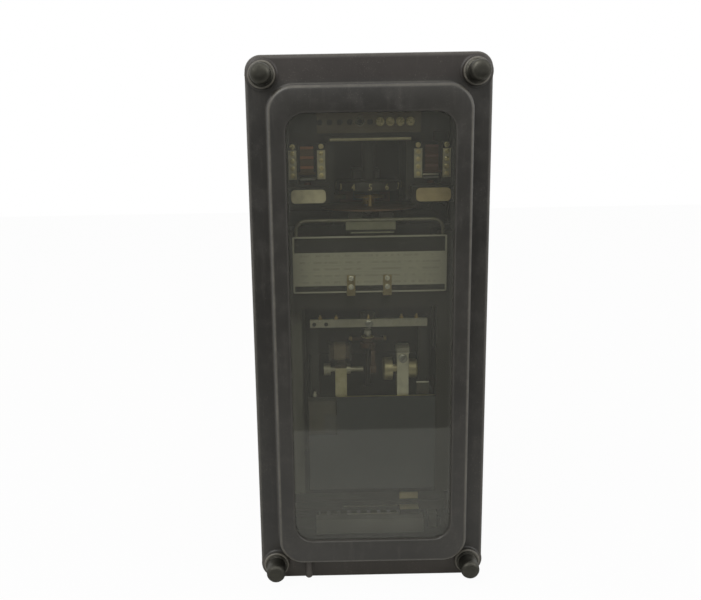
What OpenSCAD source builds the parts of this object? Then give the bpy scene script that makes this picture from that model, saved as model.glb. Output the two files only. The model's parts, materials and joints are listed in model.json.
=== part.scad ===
// Protection relay in a flush-mounted drawout case.
// Frame: origin at the centre of the panel face, front to -Y, up +Z, right +X. Millimetres.

/* [Cover] */
// Width of the cover
cover_w = 168.3; // [164:0.1:176]
// Height of the cover
cover_h = 385; // [380:0.5:400]
// Corner radius of the cover
cover_r = 13; // [11:0.5:16]
// Depth of the cover's skirt
skirt_d = 20; // [19:0.5:24]
// Height of the raised window frame above the skirt
raise_d = 17.3; // [16:0.1:22]
// Step from the cover's side to the raised frame
side_step = 15; // [13:0.5:16]
// Step from the cover's end to the raised frame
end_step = 20.5; // [18:0.5:21]
// Corner radius of the raised frame
raise_r = 26; // [20:1:30]
// Rounding of the cover's front edges
edge_r = 3.2; // [2:0.1:5]
// Wall of the cover
cover_wall = 3; // [2.5:0.1:4]
// Border of the raised frame beside the window
window_side = 12.3; // [10:0.1:14]
// Border of the raised frame above and below the window
window_end = 18.2; // [16:0.1:20]
// Corner radius of the window
window_r = 13; // [8:0.5:18]
// How far the window's centre lies below the cover's centre
window_drop = 0.3; // [0:0.1:2]
// Thickness of the glass
glass_t = 3; // [2:0.1:4]
// Lap of the glass behind the frame
glass_lap = 5; // [3:0.5:5.5]

/* [Cover nuts and reset rod] */
// Nut axis from the cover's side
nut_inset_x = 11.7; // [11:0.1:12.5]
// Nut axis from the cover's end
nut_inset_z = 13.1; // [12:0.1:14]
// Radius of a cover stud
stud_r = 3; // [2.5:0.1:3.5]
// Radius of a nut's head
nut_head_r = 7; // [6:0.1:7.5]
// Radius of a nut's collar
nut_collar_r = 8.2; // [7.8:0.1:9]
// Height of a nut above the skirt's front
nut_h = 20.5; // [16:0.5:22]
// Height of a nut's boss on the skirt
boss_h = 4; // [3:0.5:5]
// Radius of the reset rod's button
button_r = 2.5; // [2:0.1:3]
// Distance of the reset rod from the centre line
button_x = 48; // [44:0.5:52]
// How far the reset rod's button reaches below the raised frame
button_out = 16; // [12:0.5:18]

/* [Case] */
// Width of the case behind the panel
case_w = 132; // [130:0.5:136]
// Height of the case behind the panel
case_h = 360; // [358:0.5:364]
// Depth of the case behind the panel
case_d = 150; // [146:1:170]
// Sheet of the case
case_wall = 2; // [1.5:0.1:2.5]
// Thickness of the panel flange
flange_t = 2; // [1.5:0.1:3]
// Thickness of the cover gasket
gasket_t = 2; // [1:0.1:3]
// Panel screws from the cover's side
mount_inset = 11.15; // [10:0.05:12]
// Height of the panel screws' pattern
mount_h = 240; // [200:1:280]
// Radius of a panel screw's hole
mount_r = 2.8; // [2.5:0.1:3.2]
// Radius of a terminal stud
terminal_r = 3.1; // [2.5:0.1:3.5]
// Length of a terminal stud behind the case
terminal_out = 20; // [15:1:25]
// Spacing of the terminal studs
terminal_step = 22; // [18:0.5:24]

/* [Cradle] */
// Width of the cradle
cradle_w = 124; // [122:0.5:125]
// Sheet of the cradle
cradle_t = 1.6; // [1.2:0.1:2]
// Depth of the cradle from its front flange
cradle_d = 116; // [112:1:124]
// Width of the cradle's front flange
cradle_lip = 12; // [10:0.5:13]

/* [Time unit] */
// Offset of the time unit to the right
unit_x = 1.4; // [0:0.1:1.6]
// Distance of the disk's axis behind the panel face
disk_y = 16; // [15:0.5:17]
// Radius of the induction disk
disk_r = 35; // [32:0.5:35.5]
// Thickness of the induction disk
disk_t = 1.2; // [0.8:0.1:1.6]
// Radius of the time dial
dial_r = 24; // [22:0.5:24.5]
// Height of the time dial
dial_h = 7; // [5:0.5:9]
// Radius of the disk shaft
shaft_r = 2.5; // [2:0.1:3]
// Radius of the bearing pivots
pivot_r = 1; // [0.8:0.1:1.2]

/* [Nameplate] */
// Width of the nameplate
plate_w = 109.5; // [100:0.5:112]
// Lower edge of the nameplate
plate_low = 28.5; // [28:0.5:32]
// Upper edge of the nameplate
plate_top = 69; // [64:0.5:70]
// Distance of the nameplate's face in front of the panel face
plate_out = 20; // [18:0.5:22]
// Radius of the bail's wire
bail_r = 1.25; // [1:0.05:1.5]

/* [Cup unit] */
// Distance of the cup's axis behind the panel face
cup_y = 14; // [13:0.5:16]
// Radius of the cup
cup_r = 16; // [14:0.5:16.5]
// Height of the contacts
contact_z = -31; // [-33:0.5:-30]
// Radius of the contact barrel
barrel_r = 8.5; // [7:0.5:9]
// Radius of the cup shaft
cup_shaft_r = 2; // [1.6:0.1:2.4]
// Radius of the backstop screw
backstop_r = 1.8; // [1.5:0.1:2.2]

/* [Hidden] */
$fn = 48;

// Clearances
run_gap = 0.05;
end_gap = 0.1;
eps = 1;

// Layers of the cover, from the panel face to the front
flange_front = -flange_t;
skirt_back = flange_front - gasket_t;
skirt_front = skirt_back - skirt_d;
raise_front = skirt_front - raise_d;
glass_front = raise_front + cover_wall;
glass_back = glass_front + glass_t;
skirt_inner = skirt_front + cover_wall;
raise_w = cover_w - 2 * side_step;
raise_h = cover_h - 2 * end_step;
window_w = raise_w - 2 * window_side;
window_h = raise_h - 2 * window_end;
raise_in_w = raise_w - 2 * cover_wall;
raise_in_h = raise_h - 2 * cover_wall;
glass_w = window_w + 2 * glass_lap;
glass_h = window_h + 2 * glass_lap;

// Cover fastening
nut_x = cover_w / 2 - nut_inset_x;
nut_z = cover_h / 2 - nut_inset_z;
nut_places = [[-nut_x, nut_z], [nut_x, nut_z], [-nut_x, -nut_z], [nut_x, -nut_z]];
boss_top = skirt_front - boss_h;
boss_r = nut_collar_r + 1.3;
boss_flare = 2;
boss_round = 1.4;
collar_t = 1.4;
nut_round = 3.5;
nut_end = skirt_front - nut_h;
shank_r = stud_r + 2;
shank_end = skirt_inner + 4;
stud_end = nut_end + 4;
stud_room = 1;

// Reset rod
rod_r = 1.5;
rod_y = glass_back + 4.3;
rod_x = raise_in_w / 2 - 4.6;
rod_top = 95;
button_end = -raise_h / 2 - button_out;
rod_stop_r = button_r + 1.5;
corner_r = raise_r - cover_wall;
corner_x = raise_in_w / 2 - corner_r;
corner_z = raise_in_h / 2 - corner_r;
stop_reach = max(0, button_x + rod_stop_r - corner_x);
rod_stop_z = 0.3 - corner_z - sqrt(corner_r * corner_r - stop_reach * stop_reach);
rod_bend_z = rod_stop_z + 5;
rod_stop_t = 2.5;
bend_swell = 0.1;
lug_t = 6;
lug_half = 3;
lug_zs = [-50, 50];
lug_reach = 60;
rod_bend_x = -corner_x - 10;
rod_up_z = -corner_z - 7;
button_round = 0.8;

// Glass clips
glass_clip_zs = [-110, 0, 110];
glass_clip_half = 6;
glass_clip_t = 1;
glass_clip_on = 4;
glass_clip_d = 9;

// Case
flange_gap = 1;
flange_w = cover_w - 2 * flange_gap;
flange_h = cover_h - 2 * flange_gap;
mount_w = cover_w - 2 * mount_inset;
case_r = 6;
case_in_w = case_w - 2 * case_wall;
case_in_h = case_h - 2 * case_wall;
case_back = case_d - case_wall;
gasket_w = 4;

// Blocks at the two ends, given by their height above the centre
block_top = case_in_h / 2;
outer_block_z = block_top - 9.5;
inner_block_top = outer_block_z - 14;
inner_block_h = 14.5;
inner_block_low = inner_block_top - inner_block_h;
outer_block_w = 120;
block_front = 30;
inner_front = 12;
ledge_z = inner_block_low + 7;
ledge_d = 2;
leg_front = case_back - 24;
leg_z = outer_block_z - 24.5;
land_gap = 0.3;
land_out = 2;
land_w = 112;
land_low = leg_z + 2;
land_top = block_top - 2;
terminal_rows = [land_low + 6.5, land_top - 6.5];
terminal_count = 5;
terminal_set = 2;
nut_af = 11;
nut_t = 5;

// Connecting plug between an inner and an outer block
plug_w = 84;
plug_front = -2;
plug_bar_d = 10;
tongue_w = 80;
tongue_end = 60;
blade_t = 0.6;
blade_w = 5;
blade_step = 8;
blade_count = 10;
finger_t = 0.6;
finger_rise = 2.5;
finger_d = 54;
bow = [4, 8, 14];
outer_finger_set = 4;
inner_finger_set = 6;
plug_lap = 2;
blade_set = 4;
blade_stop = 2;
tongue_low = inner_block_top + finger_rise + blade_t;
tongue_top = outer_block_z - finger_rise - blade_t;

// Cradle
lip_y = skirt_back;
cradle_back = lip_y + cradle_d;
cradle_in = cradle_w / 2 - cradle_t;
cradle_z = inner_block_top - 2.5;
back_face = cradle_back - cradle_t;
lip_low = -132;
lip_top = 70;
bar_low = 14;
bar_top = 26;
pin_r = 4;
pin_end = back_face - 6;
pin_taper = 3;
side_cut = 24;
side_window_y = [lip_y + 34, cradle_back - 20];
side_windows = [[-110, -66], [-40, 20], [84, 124]];

// Latches
latch_x = cradle_in - 10.4;
latch_y = 40;
latch_t = 2.5;
latch_pin_r = 2;
catch_w = 4;
catch_over = 2;
latch_eye_r = 6;
latch_half = 3.2;
latch_front = 4;
latch_hole_d = 4.5;
hook_d = 5;
hook_gap = 1;
latch_head_r = 3.4;
latch_head_t = 1.5;
latch_tab_w = 6;
latch_tab_h = 9;
latch_tab_t = 1.6;
latch_top = inner_block_top + latch_t;

// Time unit, from its shelf upwards
shelf_low = 72;
shelf_top = 75;
cheek_in = 26;
cheek_out = 29;
cheek_back = 57;
top_low = 134;
top_high = 137;
top_front = -10;
disk_z = 86;
bearing_low = shelf_top + 2;
bearing_top = 81;
bearing_taper = 2;
spring_z = 93.2;
post_flange_z = 97.6;
post_flange_t = 1.3;
dial_z = post_flange_z + post_flange_t + end_gap;
post_r = 5;
bearing_tip_r = post_r - 1;
post_flange_r = post_r + 3;
slot_z = [80, 92.5];
slot_stop = 3;
upper_r = 1.5;
arm_z = 88.5;
arm_r = 19;
arm_h = 3.5;
arm_wall = 2;
arm_bar_w = 3;
arm_bar_z = [arm_z + 0.5, arm_z + 2.5];
contact_pin_r = 1.5;
contact_pin_top = 96.5;
shaft_shoulder = bearing_top + 1;
shaft_collar = post_flange_z - 0.6;
shaft_end = top_low - 1;
dial_bevel = 3;
spring_turns = 3;
spring_in = shaft_r + 1.5;
spring_out = 11;
spring_t = 0.6;
spring_h = 2;
spring_steps = 60;

// Stationary contact of the time unit
fixed_z = [93, 96];
fixed_y = [disk_y - 8.5, disk_y - 6];
fixed_back = disk_y + 4;
fixed_reach = 9;
fixed_sheet = 1;
fixed_tip_z = 94.5;
fixed_tip_r = 1.5;
fixed_tip_t = 1;

// Tap block
tap_half = 45;
tap_x = -34;
tap_z = 147.5;
tap_step = 7.1;
tap_count = 10;
tap_free = 6;
tap_front = -4;
tap_d = 12;
tap_high = 155;
tap_hole_r = 2.2;
tap_hole_d = 8;
tap_screw_d = 6;
tap_head_r = 3.1;
tap_head_t = 2.2;
tap_head_round = 0.7;

// Magnets of the time unit
core_w = 20;
pole_low = disk_z - 1.5;
pole_high = disk_z + disk_t + 2.3;
core_front = 36;
core_back = 88;
limb_t = 12;
yoke_t = 12;
core_top = 112;
coil_top = core_top - yoke_t;
pole_set = 6;
pole_d = 10;
coil_d = 10;
drag_w = 36;
drag_d = 10;
drag_low = 71;
drag_high = 78;
drag_pole_x = 11;
drag_pole_w = 10;

// Target units, by distance from the time unit's centre line
target_in = cheek_out;
target_out = 58.6;
hollow_in = 38.3;
hollow_out = 51.5;
target_low = 90;
target_high = 133;
target_d = 24;
foot_d = 13.5;
foot_low = 91;
foot_top = 102.5;
foot_sill = 1.5;
base_wall = 2;
base_floor = target_low + 3;
pin_bite = 1.5;
armature_z = 107.7;
armature_y = 20;
armature_t = 1.4;
armature_front = 5;
armature_side = 1;
flag_z = 112;
flag_y = 3.5;
flag_h = 19;
flag_t = 1;
flag_side = 1.8;
coil_mid = (hollow_in + hollow_out) / 2;
coil_y = 11;
coil_r = 6;
coil_h = 10;
pole_piece_r = 2.5;
pole_piece_h = 12;
label_x = 44.1;
label_w = 24.6;
label_h = 10.3;
label_t = 1.5;
label_z = 96.8;
label_r = 4.5;
strip_t = 1.5;
strip_w = 5.7;
strip_gap = 0.8;
strip_low = 108;
strip_high = 128.5;

// Nameplate
plate_t = 1;
plate_r = 1;
bail_x = 52;
bail_top = 80;
bail_corner = 7;
bail_low = 36;
bail_y = plate_t - plate_out + bail_r;
clip_xs = [-13.5, 12.4];
clip_w = 6;
clip_t = 1;
clip_foot = bar_low + 2;
clip_top = plate_low + 12.5;

// Cup unit
cup_left = -46;
cup_right = 48;
cup_shelf_top = -50.5;
cup_shelf_t = 3;
cup_floor_top = -120;
cup_floor_t = 3;
cup_front = -16.4;
front_plate_t = 1.6;
upright_w = 6;
upright_y = -7;
upright_d = 10;
stator_post_set = 4;
stator_post_r = 3.5;
shelf_hole_r = cup_shaft_r + 2;
plate_notch_w = 21;
plate_notch_h = 29;
strap_left = -43.6;
strap_right = 42.6;
strap_low = -0.3;
strap_top = 6.7;
strap_t = 3;
strap_tongue_w = 8;
strap_boss_r = 5.5;
strap_boss_low = strap_low - 4.7;
strap_bore_top = strap_top - 2.7;
strap_holes = [strap_left + 3.1, strap_left + 11.9];
strap_hole_r = 1.3;
strap_hole_d = 1.5;
contact_y = -10;
post_d = 10;
post_w = 8.4;
backstop_x = -21.4;
clamp_x = 24.2;
backstop_top = contact_z + 5;
clamp_top = contact_z + 12.4;
cap_over = 0.5;
cap_h = 6;
cap_slope = 1.5;
neck_w = 6;
neck_h = 3;
spool_x = [-30, -14];
spool_d = 12;
spool_h = 12;
spool_r = 4;
knob_x = [-34, -29];
knob_r = 4.5;
lock_r = 3.6;
lock_t = 3;
backstop_end = -4.7;
barrel_shank_r = 3;
barrel_x = [9.9, 16.7];
barrel_bevel = 1;
barrel_knob_r = 7;
barrel_knob_end = 35;
lead_x = [34.5, 43.5];
lead_front = cup_front + 2.4;
lead_d = 6.5;
lead_h = 10;
lead_t = 1.2;
hub_low = -20;
hub_high = -16;
hub_r = 6;
hub_neck_r = 4;
cross_z = [hub_high + 1.5, hub_high + 3.5];
cross_half = 13;
arm_t = 3;
arm_x = [1, 4];
arm_drop_d = 3;
arm_root = 3;
tip_r = 3.5;
tip_x = [0.2, 4.8];
stator_x = 34;
stator_y = 29;
stator_low = -103;
stator_high = -65;
limb_x = 6;
limb_y = 5;
pole_w = 14;
bore_r = cup_r + 1;
cup_wall = 1;
core_r = cup_r - cup_wall - 1.5;
cup_high = stator_high + 4;
cup_top_t = 1.5;
cup_neck_h = 3;
cup_neck_r = cup_shaft_r + 2;
cup_bearing_low = cup_floor_top + 2;
cup_bearing_top = cup_floor_top + 7;
cup_shoulder = cup_bearing_top + 0.5;
cup_collar = strap_boss_low - 1.5;
cup_end = strap_bore_top - 0.5;
core_bore_r = cup_shaft_r + 1.5;
pole_lap = 2;
stator_coil_t = 7;
stator_coil_half = 6;
stator_coil_over = 6;

// Metal strips on the lower inner block
link_x = [24.5, 39];
link_face = inner_front + ledge_d;
link_high = [-inner_block_low - 5.2, -inner_block_low];
link_low = [-inner_block_top - 0.5, 4.5 - inner_block_top];
link_front = 4;

// A block given by its spans along X, Y and Z
module span(x, y, z) {
    translate([x[0], y[0], z[0]])
        cube([x[1] - x[0], y[1] - y[0], z[1] - z[0]]);
}

// A plain cylinder along X
module rod_along_x(x, y, z, r) {
    translate([x[0], y, z])
        rotate([0, 90, 0])
            cylinder(r = r, h = x[1] - x[0]);
}

// A plain cylinder along Y
module rod_along_y(x, y, z, r) {
    translate([x, y[1], z])
        rotate([90, 0, 0])
            cylinder(r = r, h = y[1] - y[0]);
}

// A plain cylinder along Z
module rod_along_z(x, y, z, r) {
    translate([x, y, z[0]])
        cylinder(r = r, h = z[1] - z[0]);
}

// A round rod through the given points, with round bends
module bent_rod(points, r) {
    for (i = [0 : len(points) - 2]) {
        run = points[i + 1] - points[i];
        translate(points[i]) {
            sphere(r + bend_swell);
            rotate([0, acos(run[2] / norm(run)), atan2(run[1], run[0])])
                cylinder(r = r, h = norm(run));
        }
    }
}

// An outline of Y and Z points, extruded along X
module prism_along_x(points, x) {
    translate([x[0], 0, 0])
        rotate([90, 0, 90])
            linear_extrude(x[1] - x[0])
                polygon(points);
}

// A rectangle with round corners
module round_rect(w, h, r) {
    square([w - 2 * r, h], center = true);
    square([w, h - 2 * r], center = true);
    for (sx = [-1, 1])
        for (sy = [-1, 1])
            translate([sx * (w / 2 - r), sy * (h / 2 - r)])
                circle(r);
}

// A standing plate with round corners, between two depths
module plate(w, h, r, y) {
    translate([0, y[1], 0])
        rotate([90, 0, 0])
            linear_extrude(y[1] - y[0])
                round_rect(w, h, r);
}

// A revolved shape about an axis that runs to the front, from radius and depth points
module turned_front(points, x, z) {
    translate([x, 0, z])
        rotate([90, 0, 0])
            rotate_extrude()
                polygon([for (p = points) [p[0], -p[1]]]);
}

// A revolved shape about an axis that runs to the right, from radius and X points
module turned_right(points, y, z) {
    translate([0, y, z])
        rotate([0, 90, 0])
            rotate_extrude()
                polygon(points);
}

// A revolved shape about a vertical axis, from radius and height points
module turned_up(points, x, y) {
    translate([x, y, 0])
        rotate_extrude()
            polygon(points);
}

// Radius and depth points of a hollow fillet at a round boss's foot, from the flat to the boss
function hollow_arc(r, y, fillet) =
    [for (a = [0 : 18 : 90]) [r + fillet - fillet * sin(a), y - fillet + fillet * cos(a)]];

// Radius and depth points of a rounded front edge, from the side to the front
function round_arc(r, y, edge) =
    [for (a = [0 : 18 : 90]) [r - edge + edge * cos(a), y + edge - edge * sin(a)]];

// A moulded slab with round corners and a rounded front edge
module moulded_slab(w, h, r, back, front) {
    depth = back - front;
    steps = 5;
    edge = [for (i = [0 : steps])
        [r - edge_r + edge_r * cos(90 * i / steps), depth - edge_r + edge_r * sin(90 * i / steps)]];
    hull()
        for (sx = [-1, 1])
            for (sz = [-1, 1])
                translate([sx * (w / 2 - r), back, sz * (h / 2 - r)])
                    rotate([90, 0, 0])
                        rotate_extrude($fn = 40)
                            polygon(concat([[0, 0], [r, 0]], edge, [[0, depth]]));
}

// Both ends of the relay, from what is drawn for the upper one
module both_ends() {
    children();
    mirror([0, 0, 1])
        children();
}

// Case

module case_shell() {
    color([0.16, 0.16, 0.16])
    union() {
        difference() {
            union() {
                plate(flange_w, flange_h, cover_r - flange_gap, [flange_front, 0]);
                plate(case_w, case_h, case_r, [flange_front, case_d]);
            }
            plate(case_in_w, case_in_h, case_r - case_wall, [flange_front - eps, case_back]);
            for (p = nut_places)
                rod_along_y(p[0], [flange_front - eps, eps], p[1], stud_r);
            for (sx = [-1, 1])
                for (sz = [-1, 1])
                    rod_along_y(sx * mount_w / 2, [flange_front - eps, eps], sz * mount_h / 2, mount_r);
            both_ends()
                span([-land_w / 2 - land_gap, land_w / 2 + land_gap], [case_back - eps, case_d + eps],
                    [land_low - land_gap, land_top + land_gap]);
        }
        both_ends()
            span([case_in_w / 2 - catch_w, case_in_w / 2 + case_wall / 2],
                [latch_y - catch_w - end_gap, latch_y - end_gap],
                [inner_block_top, inner_block_top + latch_t + catch_over]);
    }
}

module cover_studs() {
    color([0.7, 0.68, 0.62])
    for (p = nut_places)
        rod_along_y(p[0], [stud_end, 0], p[1], stud_r);
}

module guide_pin() {
    color([0.7, 0.7, 0.7])
    turned_front([[0, case_back], [pin_r, case_back], [pin_r, pin_end + pin_taper], [pin_r / 2, pin_end],
        [0, pin_end]],
        0, 0);
}

module terminal_places() {
    for (row = terminal_rows)
        for (i = [0 : terminal_count - 1])
            translate([(i - (terminal_count - 1) / 2) * terminal_step, 0, row])
                children();
}

module outer_blocks() {
    color([0.08, 0.08, 0.08])
    both_ends()
        difference() {
            union() {
                prism_along_x([[block_front, outer_block_z], [leg_front, outer_block_z], [leg_front, leg_z],
                    [case_back, leg_z], [case_back, block_top], [block_front, block_top]],
                    [-outer_block_w / 2, outer_block_w / 2]);
                span([-land_w / 2, land_w / 2], [case_back - eps, case_d + land_out], [land_low, land_top]);
            }
            terminal_places()
                rod_along_y(0, [leg_front - eps, case_d + land_out + eps], 0, terminal_r);
        }
}

module terminal_studs() {
    color([0.72, 0.6, 0.35])
    both_ends()
        terminal_places()
            rod_along_y(0, [leg_front + terminal_set, case_d + terminal_out], 0, terminal_r);
}

module terminal_nuts() {
    color([0.75, 0.65, 0.4])
    both_ends()
        terminal_places()
            translate([0, case_d + land_out + nut_t, 0])
                rotate([90, 0, 0])
                    difference() {
                        cylinder(r = nut_af / sqrt(3), h = nut_t, $fn = 6);
                        translate([0, 0, -eps])
                            cylinder(r = terminal_r, h = nut_t + 2 * eps);
                    }
}

module blade_places() {
    for (i = [0 : blade_count - 1])
        translate([(i - (blade_count - 1) / 2) * blade_step, 0, 0])
            children();
}

// A leaf spring that bows towards the plug's blade, on the face of a block
module leaf_spring(front, face, way) {
    prism_along_x([[front, face], [front, face + way * finger_t], [front + bow[0],
        face + way * finger_rise],
        [front + bow[1], face + way * finger_rise], [front + bow[2], face + way * finger_t],
        [front + finger_d, face + way * finger_t], [front + finger_d, face]], [-blade_w / 2, blade_w / 2]);
}

module contact_fingers() {
    color([0.75, 0.6, 0.35])
    both_ends()
        blade_places() {
            leaf_spring(block_front + outer_finger_set, outer_block_z, -1);
            leaf_spring(inner_front + inner_finger_set, inner_block_top, 1);
        }
}

// Cradle and plugs

module cradle_frame() {
    color([0.5, 0.5, 0.47])
    difference() {
        union() {
            for (s = [-1, 1])
                mirror([s < 0 ? 1 : 0, 0, 0]) {
                    difference() {
                        span([cradle_in, cradle_w / 2], [lip_y, cradle_back], [-cradle_z, cradle_z]);
                        span([cradle_in - eps, cradle_w / 2 + eps], [lip_y - eps, lip_y + side_cut],
                            [lip_top, cradle_z + eps]);
                        for (z = side_windows)
                            span([cradle_in - eps, cradle_w / 2 + eps], side_window_y, z);
                    }
                    span([cradle_w / 2 - cradle_lip, cradle_w / 2], [lip_y, lip_y + cradle_t],
                        [lip_low, lip_top]);
                }
            span([-cradle_w / 2, cradle_w / 2], [back_face, cradle_back], [-cradle_z, cradle_z]);
            span([-cradle_w / 2, cradle_w / 2], [lip_y, lip_y + cradle_t], [bar_low, bar_top]);
        }
        rod_along_y(0, [back_face - eps, cradle_back + eps], 0, pin_r + end_gap);
    }
}

module inner_blocks() {
    color([0.08, 0.08, 0.08])
    both_ends()
        difference() {
            prism_along_x([[inner_front + ledge_d, inner_block_low], [back_face, inner_block_low],
                [back_face, inner_block_top], [inner_front, inner_block_top], [inner_front, ledge_z],
                [inner_front + ledge_d, ledge_z]], [-cradle_in, cradle_in]);
            rod_along_z(latch_x, latch_y, [inner_block_top - latch_hole_d, inner_block_top + eps],
                latch_pin_r);
        }
}

module connecting_plugs() {
    color([0.12, 0.12, 0.11])
    both_ends()
        union() {
            span([-plug_w / 2, plug_w / 2], [plug_front, plug_front + plug_bar_d],
                [tongue_low - plug_lap, tongue_top + plug_lap]);
            span([-tongue_w / 2, tongue_w / 2], [plug_front + plug_bar_d - eps, tongue_end],
                [tongue_low, tongue_top]);
        }
}

module plug_blades() {
    color([0.8, 0.72, 0.5])
    both_ends()
        blade_places()
            for (z = [tongue_low - blade_t, tongue_top])
                span([-blade_w / 2, blade_w / 2],
                    [plug_front + plug_bar_d + blade_set, tongue_end - blade_stop],
                    [z, z + blade_t]);
}

// Swinging hooks with thumb tabs that hold the cradle, each on its shouldered pin
module cradle_latches() {
    color([0.65, 0.62, 0.55])
    both_ends() {
        difference() {
            union() {
                rod_along_z(latch_x, latch_y, [inner_block_top, latch_top], latch_eye_r);
                span([latch_x - latch_half, latch_x + latch_half], [latch_front, latch_y],
                    [inner_block_top, latch_top]);
                span([latch_x, case_in_w / 2 - hook_gap], [latch_y, latch_y + hook_d],
                    [inner_block_top, latch_top]);
                span([latch_x - latch_tab_w / 2, latch_x + latch_tab_w / 2],
                    [latch_front, latch_front + latch_tab_t],
                    [inner_block_top, latch_top + latch_tab_h]);
            }
            rod_along_z(latch_x, latch_y, [inner_block_top - eps, latch_top + eps], latch_pin_r);
        }
        turned_up([[0, inner_block_top - latch_hole_d], [latch_pin_r, inner_block_top - latch_hole_d],
            [latch_pin_r, latch_top], [latch_head_r, latch_top], [latch_head_r, latch_top + latch_head_t],
            [0, latch_top + latch_head_t]], latch_x, latch_y);
    }
}

// Time unit

module disk_unit_frame() {
    color([0.14, 0.14, 0.13])
    union() {
        span([-cradle_in, cradle_in], [flange_front, back_face], [shelf_low, shelf_top]);
        for (s = [-1, 1])
            translate([unit_x, 0, 0])
                mirror([s < 0 ? 1 : 0, 0, 0])
                    difference() {
                        span([cheek_in, cheek_out], [0, cheek_back], [shelf_top - eps, top_low + eps]);
                        span([cheek_in - eps, cheek_out + eps], [-eps, disk_y + disk_r - slot_stop],
                            slot_z);
                    }
        span([unit_x - cheek_out, unit_x + cheek_out], [top_front, cheek_back], [top_low, top_high]);
        turned_up([[pivot_r + run_gap, bearing_low], [pivot_r + run_gap, bearing_top],
            [bearing_tip_r, bearing_top],
            [post_r, bearing_top - bearing_taper], [post_r, shelf_top - eps], [0, shelf_top - eps],
            [0, bearing_low]],
            unit_x, disk_y);
    }
}

module tap_block() {
    color([0.1, 0.09, 0.08])
    difference() {
        span([unit_x - tap_half, unit_x + tap_half], [tap_front, tap_front + tap_d], [top_high, tap_high]);
        for (i = [0 : tap_count - 1])
            rod_along_y(tap_x + i * tap_step, [tap_front - eps, tap_front + tap_hole_d], tap_z, tap_hole_r);
    }
}

// Tap screws in the right-hand holes of the block
module tap_screws() {
    color([0.8, 0.7, 0.45])
    for (i = [tap_free : tap_count - 1])
        turned_front(concat([[0, tap_front + tap_screw_d], [tap_hole_r, tap_front + tap_screw_d],
            [tap_hole_r, tap_front], [tap_head_r, tap_front]],
            round_arc(tap_head_r, tap_front - tap_head_t, tap_head_round), [[0, tap_front - tap_head_t]]),
            tap_x + i * tap_step, tap_z);
}

// Laminated core whose poles lie above and below the disk's rear edge
module u_magnet_core() {
    color([0.35, 0.35, 0.36])
    prism_along_x([[core_front, shelf_top], [core_back, shelf_top], [core_back, core_top],
        [core_front + pole_set, core_top], [core_front + pole_set, pole_high],
        [core_front + pole_set + pole_d, pole_high], [core_front + pole_set + pole_d, coil_top],
        [core_back - limb_t, coil_top], [core_back - limb_t, pole_low], [core_front, pole_low]],
        [unit_x - core_w / 2, unit_x + core_w / 2]);
}

module operating_coil() {
    color([0.45, 0.22, 0.12])
    difference() {
        span([unit_x - core_w / 2 - coil_d, unit_x + core_w / 2 + coil_d],
            [core_back - limb_t - coil_d, core_back + coil_d], [pole_low, coil_top]);
        span([unit_x - core_w / 2, unit_x + core_w / 2], [core_back - limb_t, core_back],
            [pole_low - eps, coil_top + eps]);
    }
}

module drag_magnet() {
    color([0.6, 0.63, 0.56])
    union() {
        span([unit_x - drag_w / 2, unit_x + drag_w / 2], [flange_front - drag_d, flange_front],
            [drag_low, drag_high]);
        for (x = [unit_x - drag_pole_x, unit_x + drag_pole_x])
            span([x - drag_pole_w / 2, x + drag_pole_w / 2], [flange_front - drag_d, flange_front],
                [drag_high - eps, pole_low]);
    }
}

// Post below the top plate: it carries the dial outside and the shaft's upper bearing inside
module dial_post() {
    color([0.7, 0.6, 0.38])
    turned_up([[upper_r + run_gap, post_flange_z], [post_flange_r, post_flange_z],
        [post_flange_r, post_flange_z + post_flange_t], [post_r, post_flange_z + post_flange_t],
        [post_r, top_low], [upper_r + run_gap, top_low]], unit_x, disk_y);
}

module stationary_contact() {
    color([0.72, 0.6, 0.35])
    union() {
        span([unit_x - cheek_in, unit_x - cheek_in + fixed_reach], fixed_y, fixed_z);
        span([unit_x - cheek_in, unit_x - cheek_in + fixed_sheet], [fixed_y[0], fixed_back],
            [fixed_z[0], contact_pin_top]);
        rod_along_y(unit_x - arm_r, [fixed_y[1], fixed_y[1] + fixed_tip_t], fixed_tip_z, fixed_tip_r);
    }
}

module induction_disk() {
    color([0.72, 0.66, 0.6])
    difference() {
        rod_along_z(unit_x, disk_y, [disk_z, disk_z + disk_t], disk_r);
        rod_along_z(unit_x, disk_y, [disk_z - eps, disk_z + disk_t + eps], shaft_r);
    }
}

module disk_shaft() {
    color([0.75, 0.75, 0.75])
    turned_up([[0, bearing_low + run_gap], [pivot_r, bearing_low + run_gap], [pivot_r, shaft_shoulder],
        [shaft_r, shaft_shoulder], [shaft_r, shaft_collar], [upper_r, shaft_collar], [upper_r, shaft_end],
        [0, shaft_end]], unit_x, disk_y);
}

// Arm with a brass contact pin, clamped to the shaft above the disk
module moving_contact() {
    color([0.78, 0.64, 0.36])
    translate([unit_x, disk_y, 0])
        union() {
            difference() {
                union() {
                    rod_along_z(0, 0, [arm_z, arm_z + arm_h], shaft_r + arm_wall);
                    span([-arm_bar_w / 2, arm_bar_w / 2], [-arm_r, 0], arm_bar_z);
                }
                rod_along_z(0, 0, [arm_z - eps, arm_z + arm_h + eps], shaft_r);
            }
            rod_along_z(0, -arm_r, [arm_z, contact_pin_top], contact_pin_r);
        }
}

// A point of the spiral spring's inner edge, or of its outer one with its thickness added
function spiral(i, added) =
    let (a = 360 * spring_turns * i / spring_steps)
    let (r = spring_in + (spring_out - spring_in) * i / spring_steps + added)
    [r * cos(a), r * sin(a)];

// Flat spiral spring on its collar
module control_spring() {
    color([0.7, 0.62, 0.42])
    translate([unit_x, disk_y, spring_z])
        linear_extrude(spring_h) {
            difference() {
                circle(spring_in + spring_t / 2);
                circle(shaft_r);
            }
            polygon(concat([for (i = [0 : spring_steps]) spiral(i, spring_t)],
                [for (i = [spring_steps : -1 : 0]) spiral(i, 0)]));
        }
}

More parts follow.
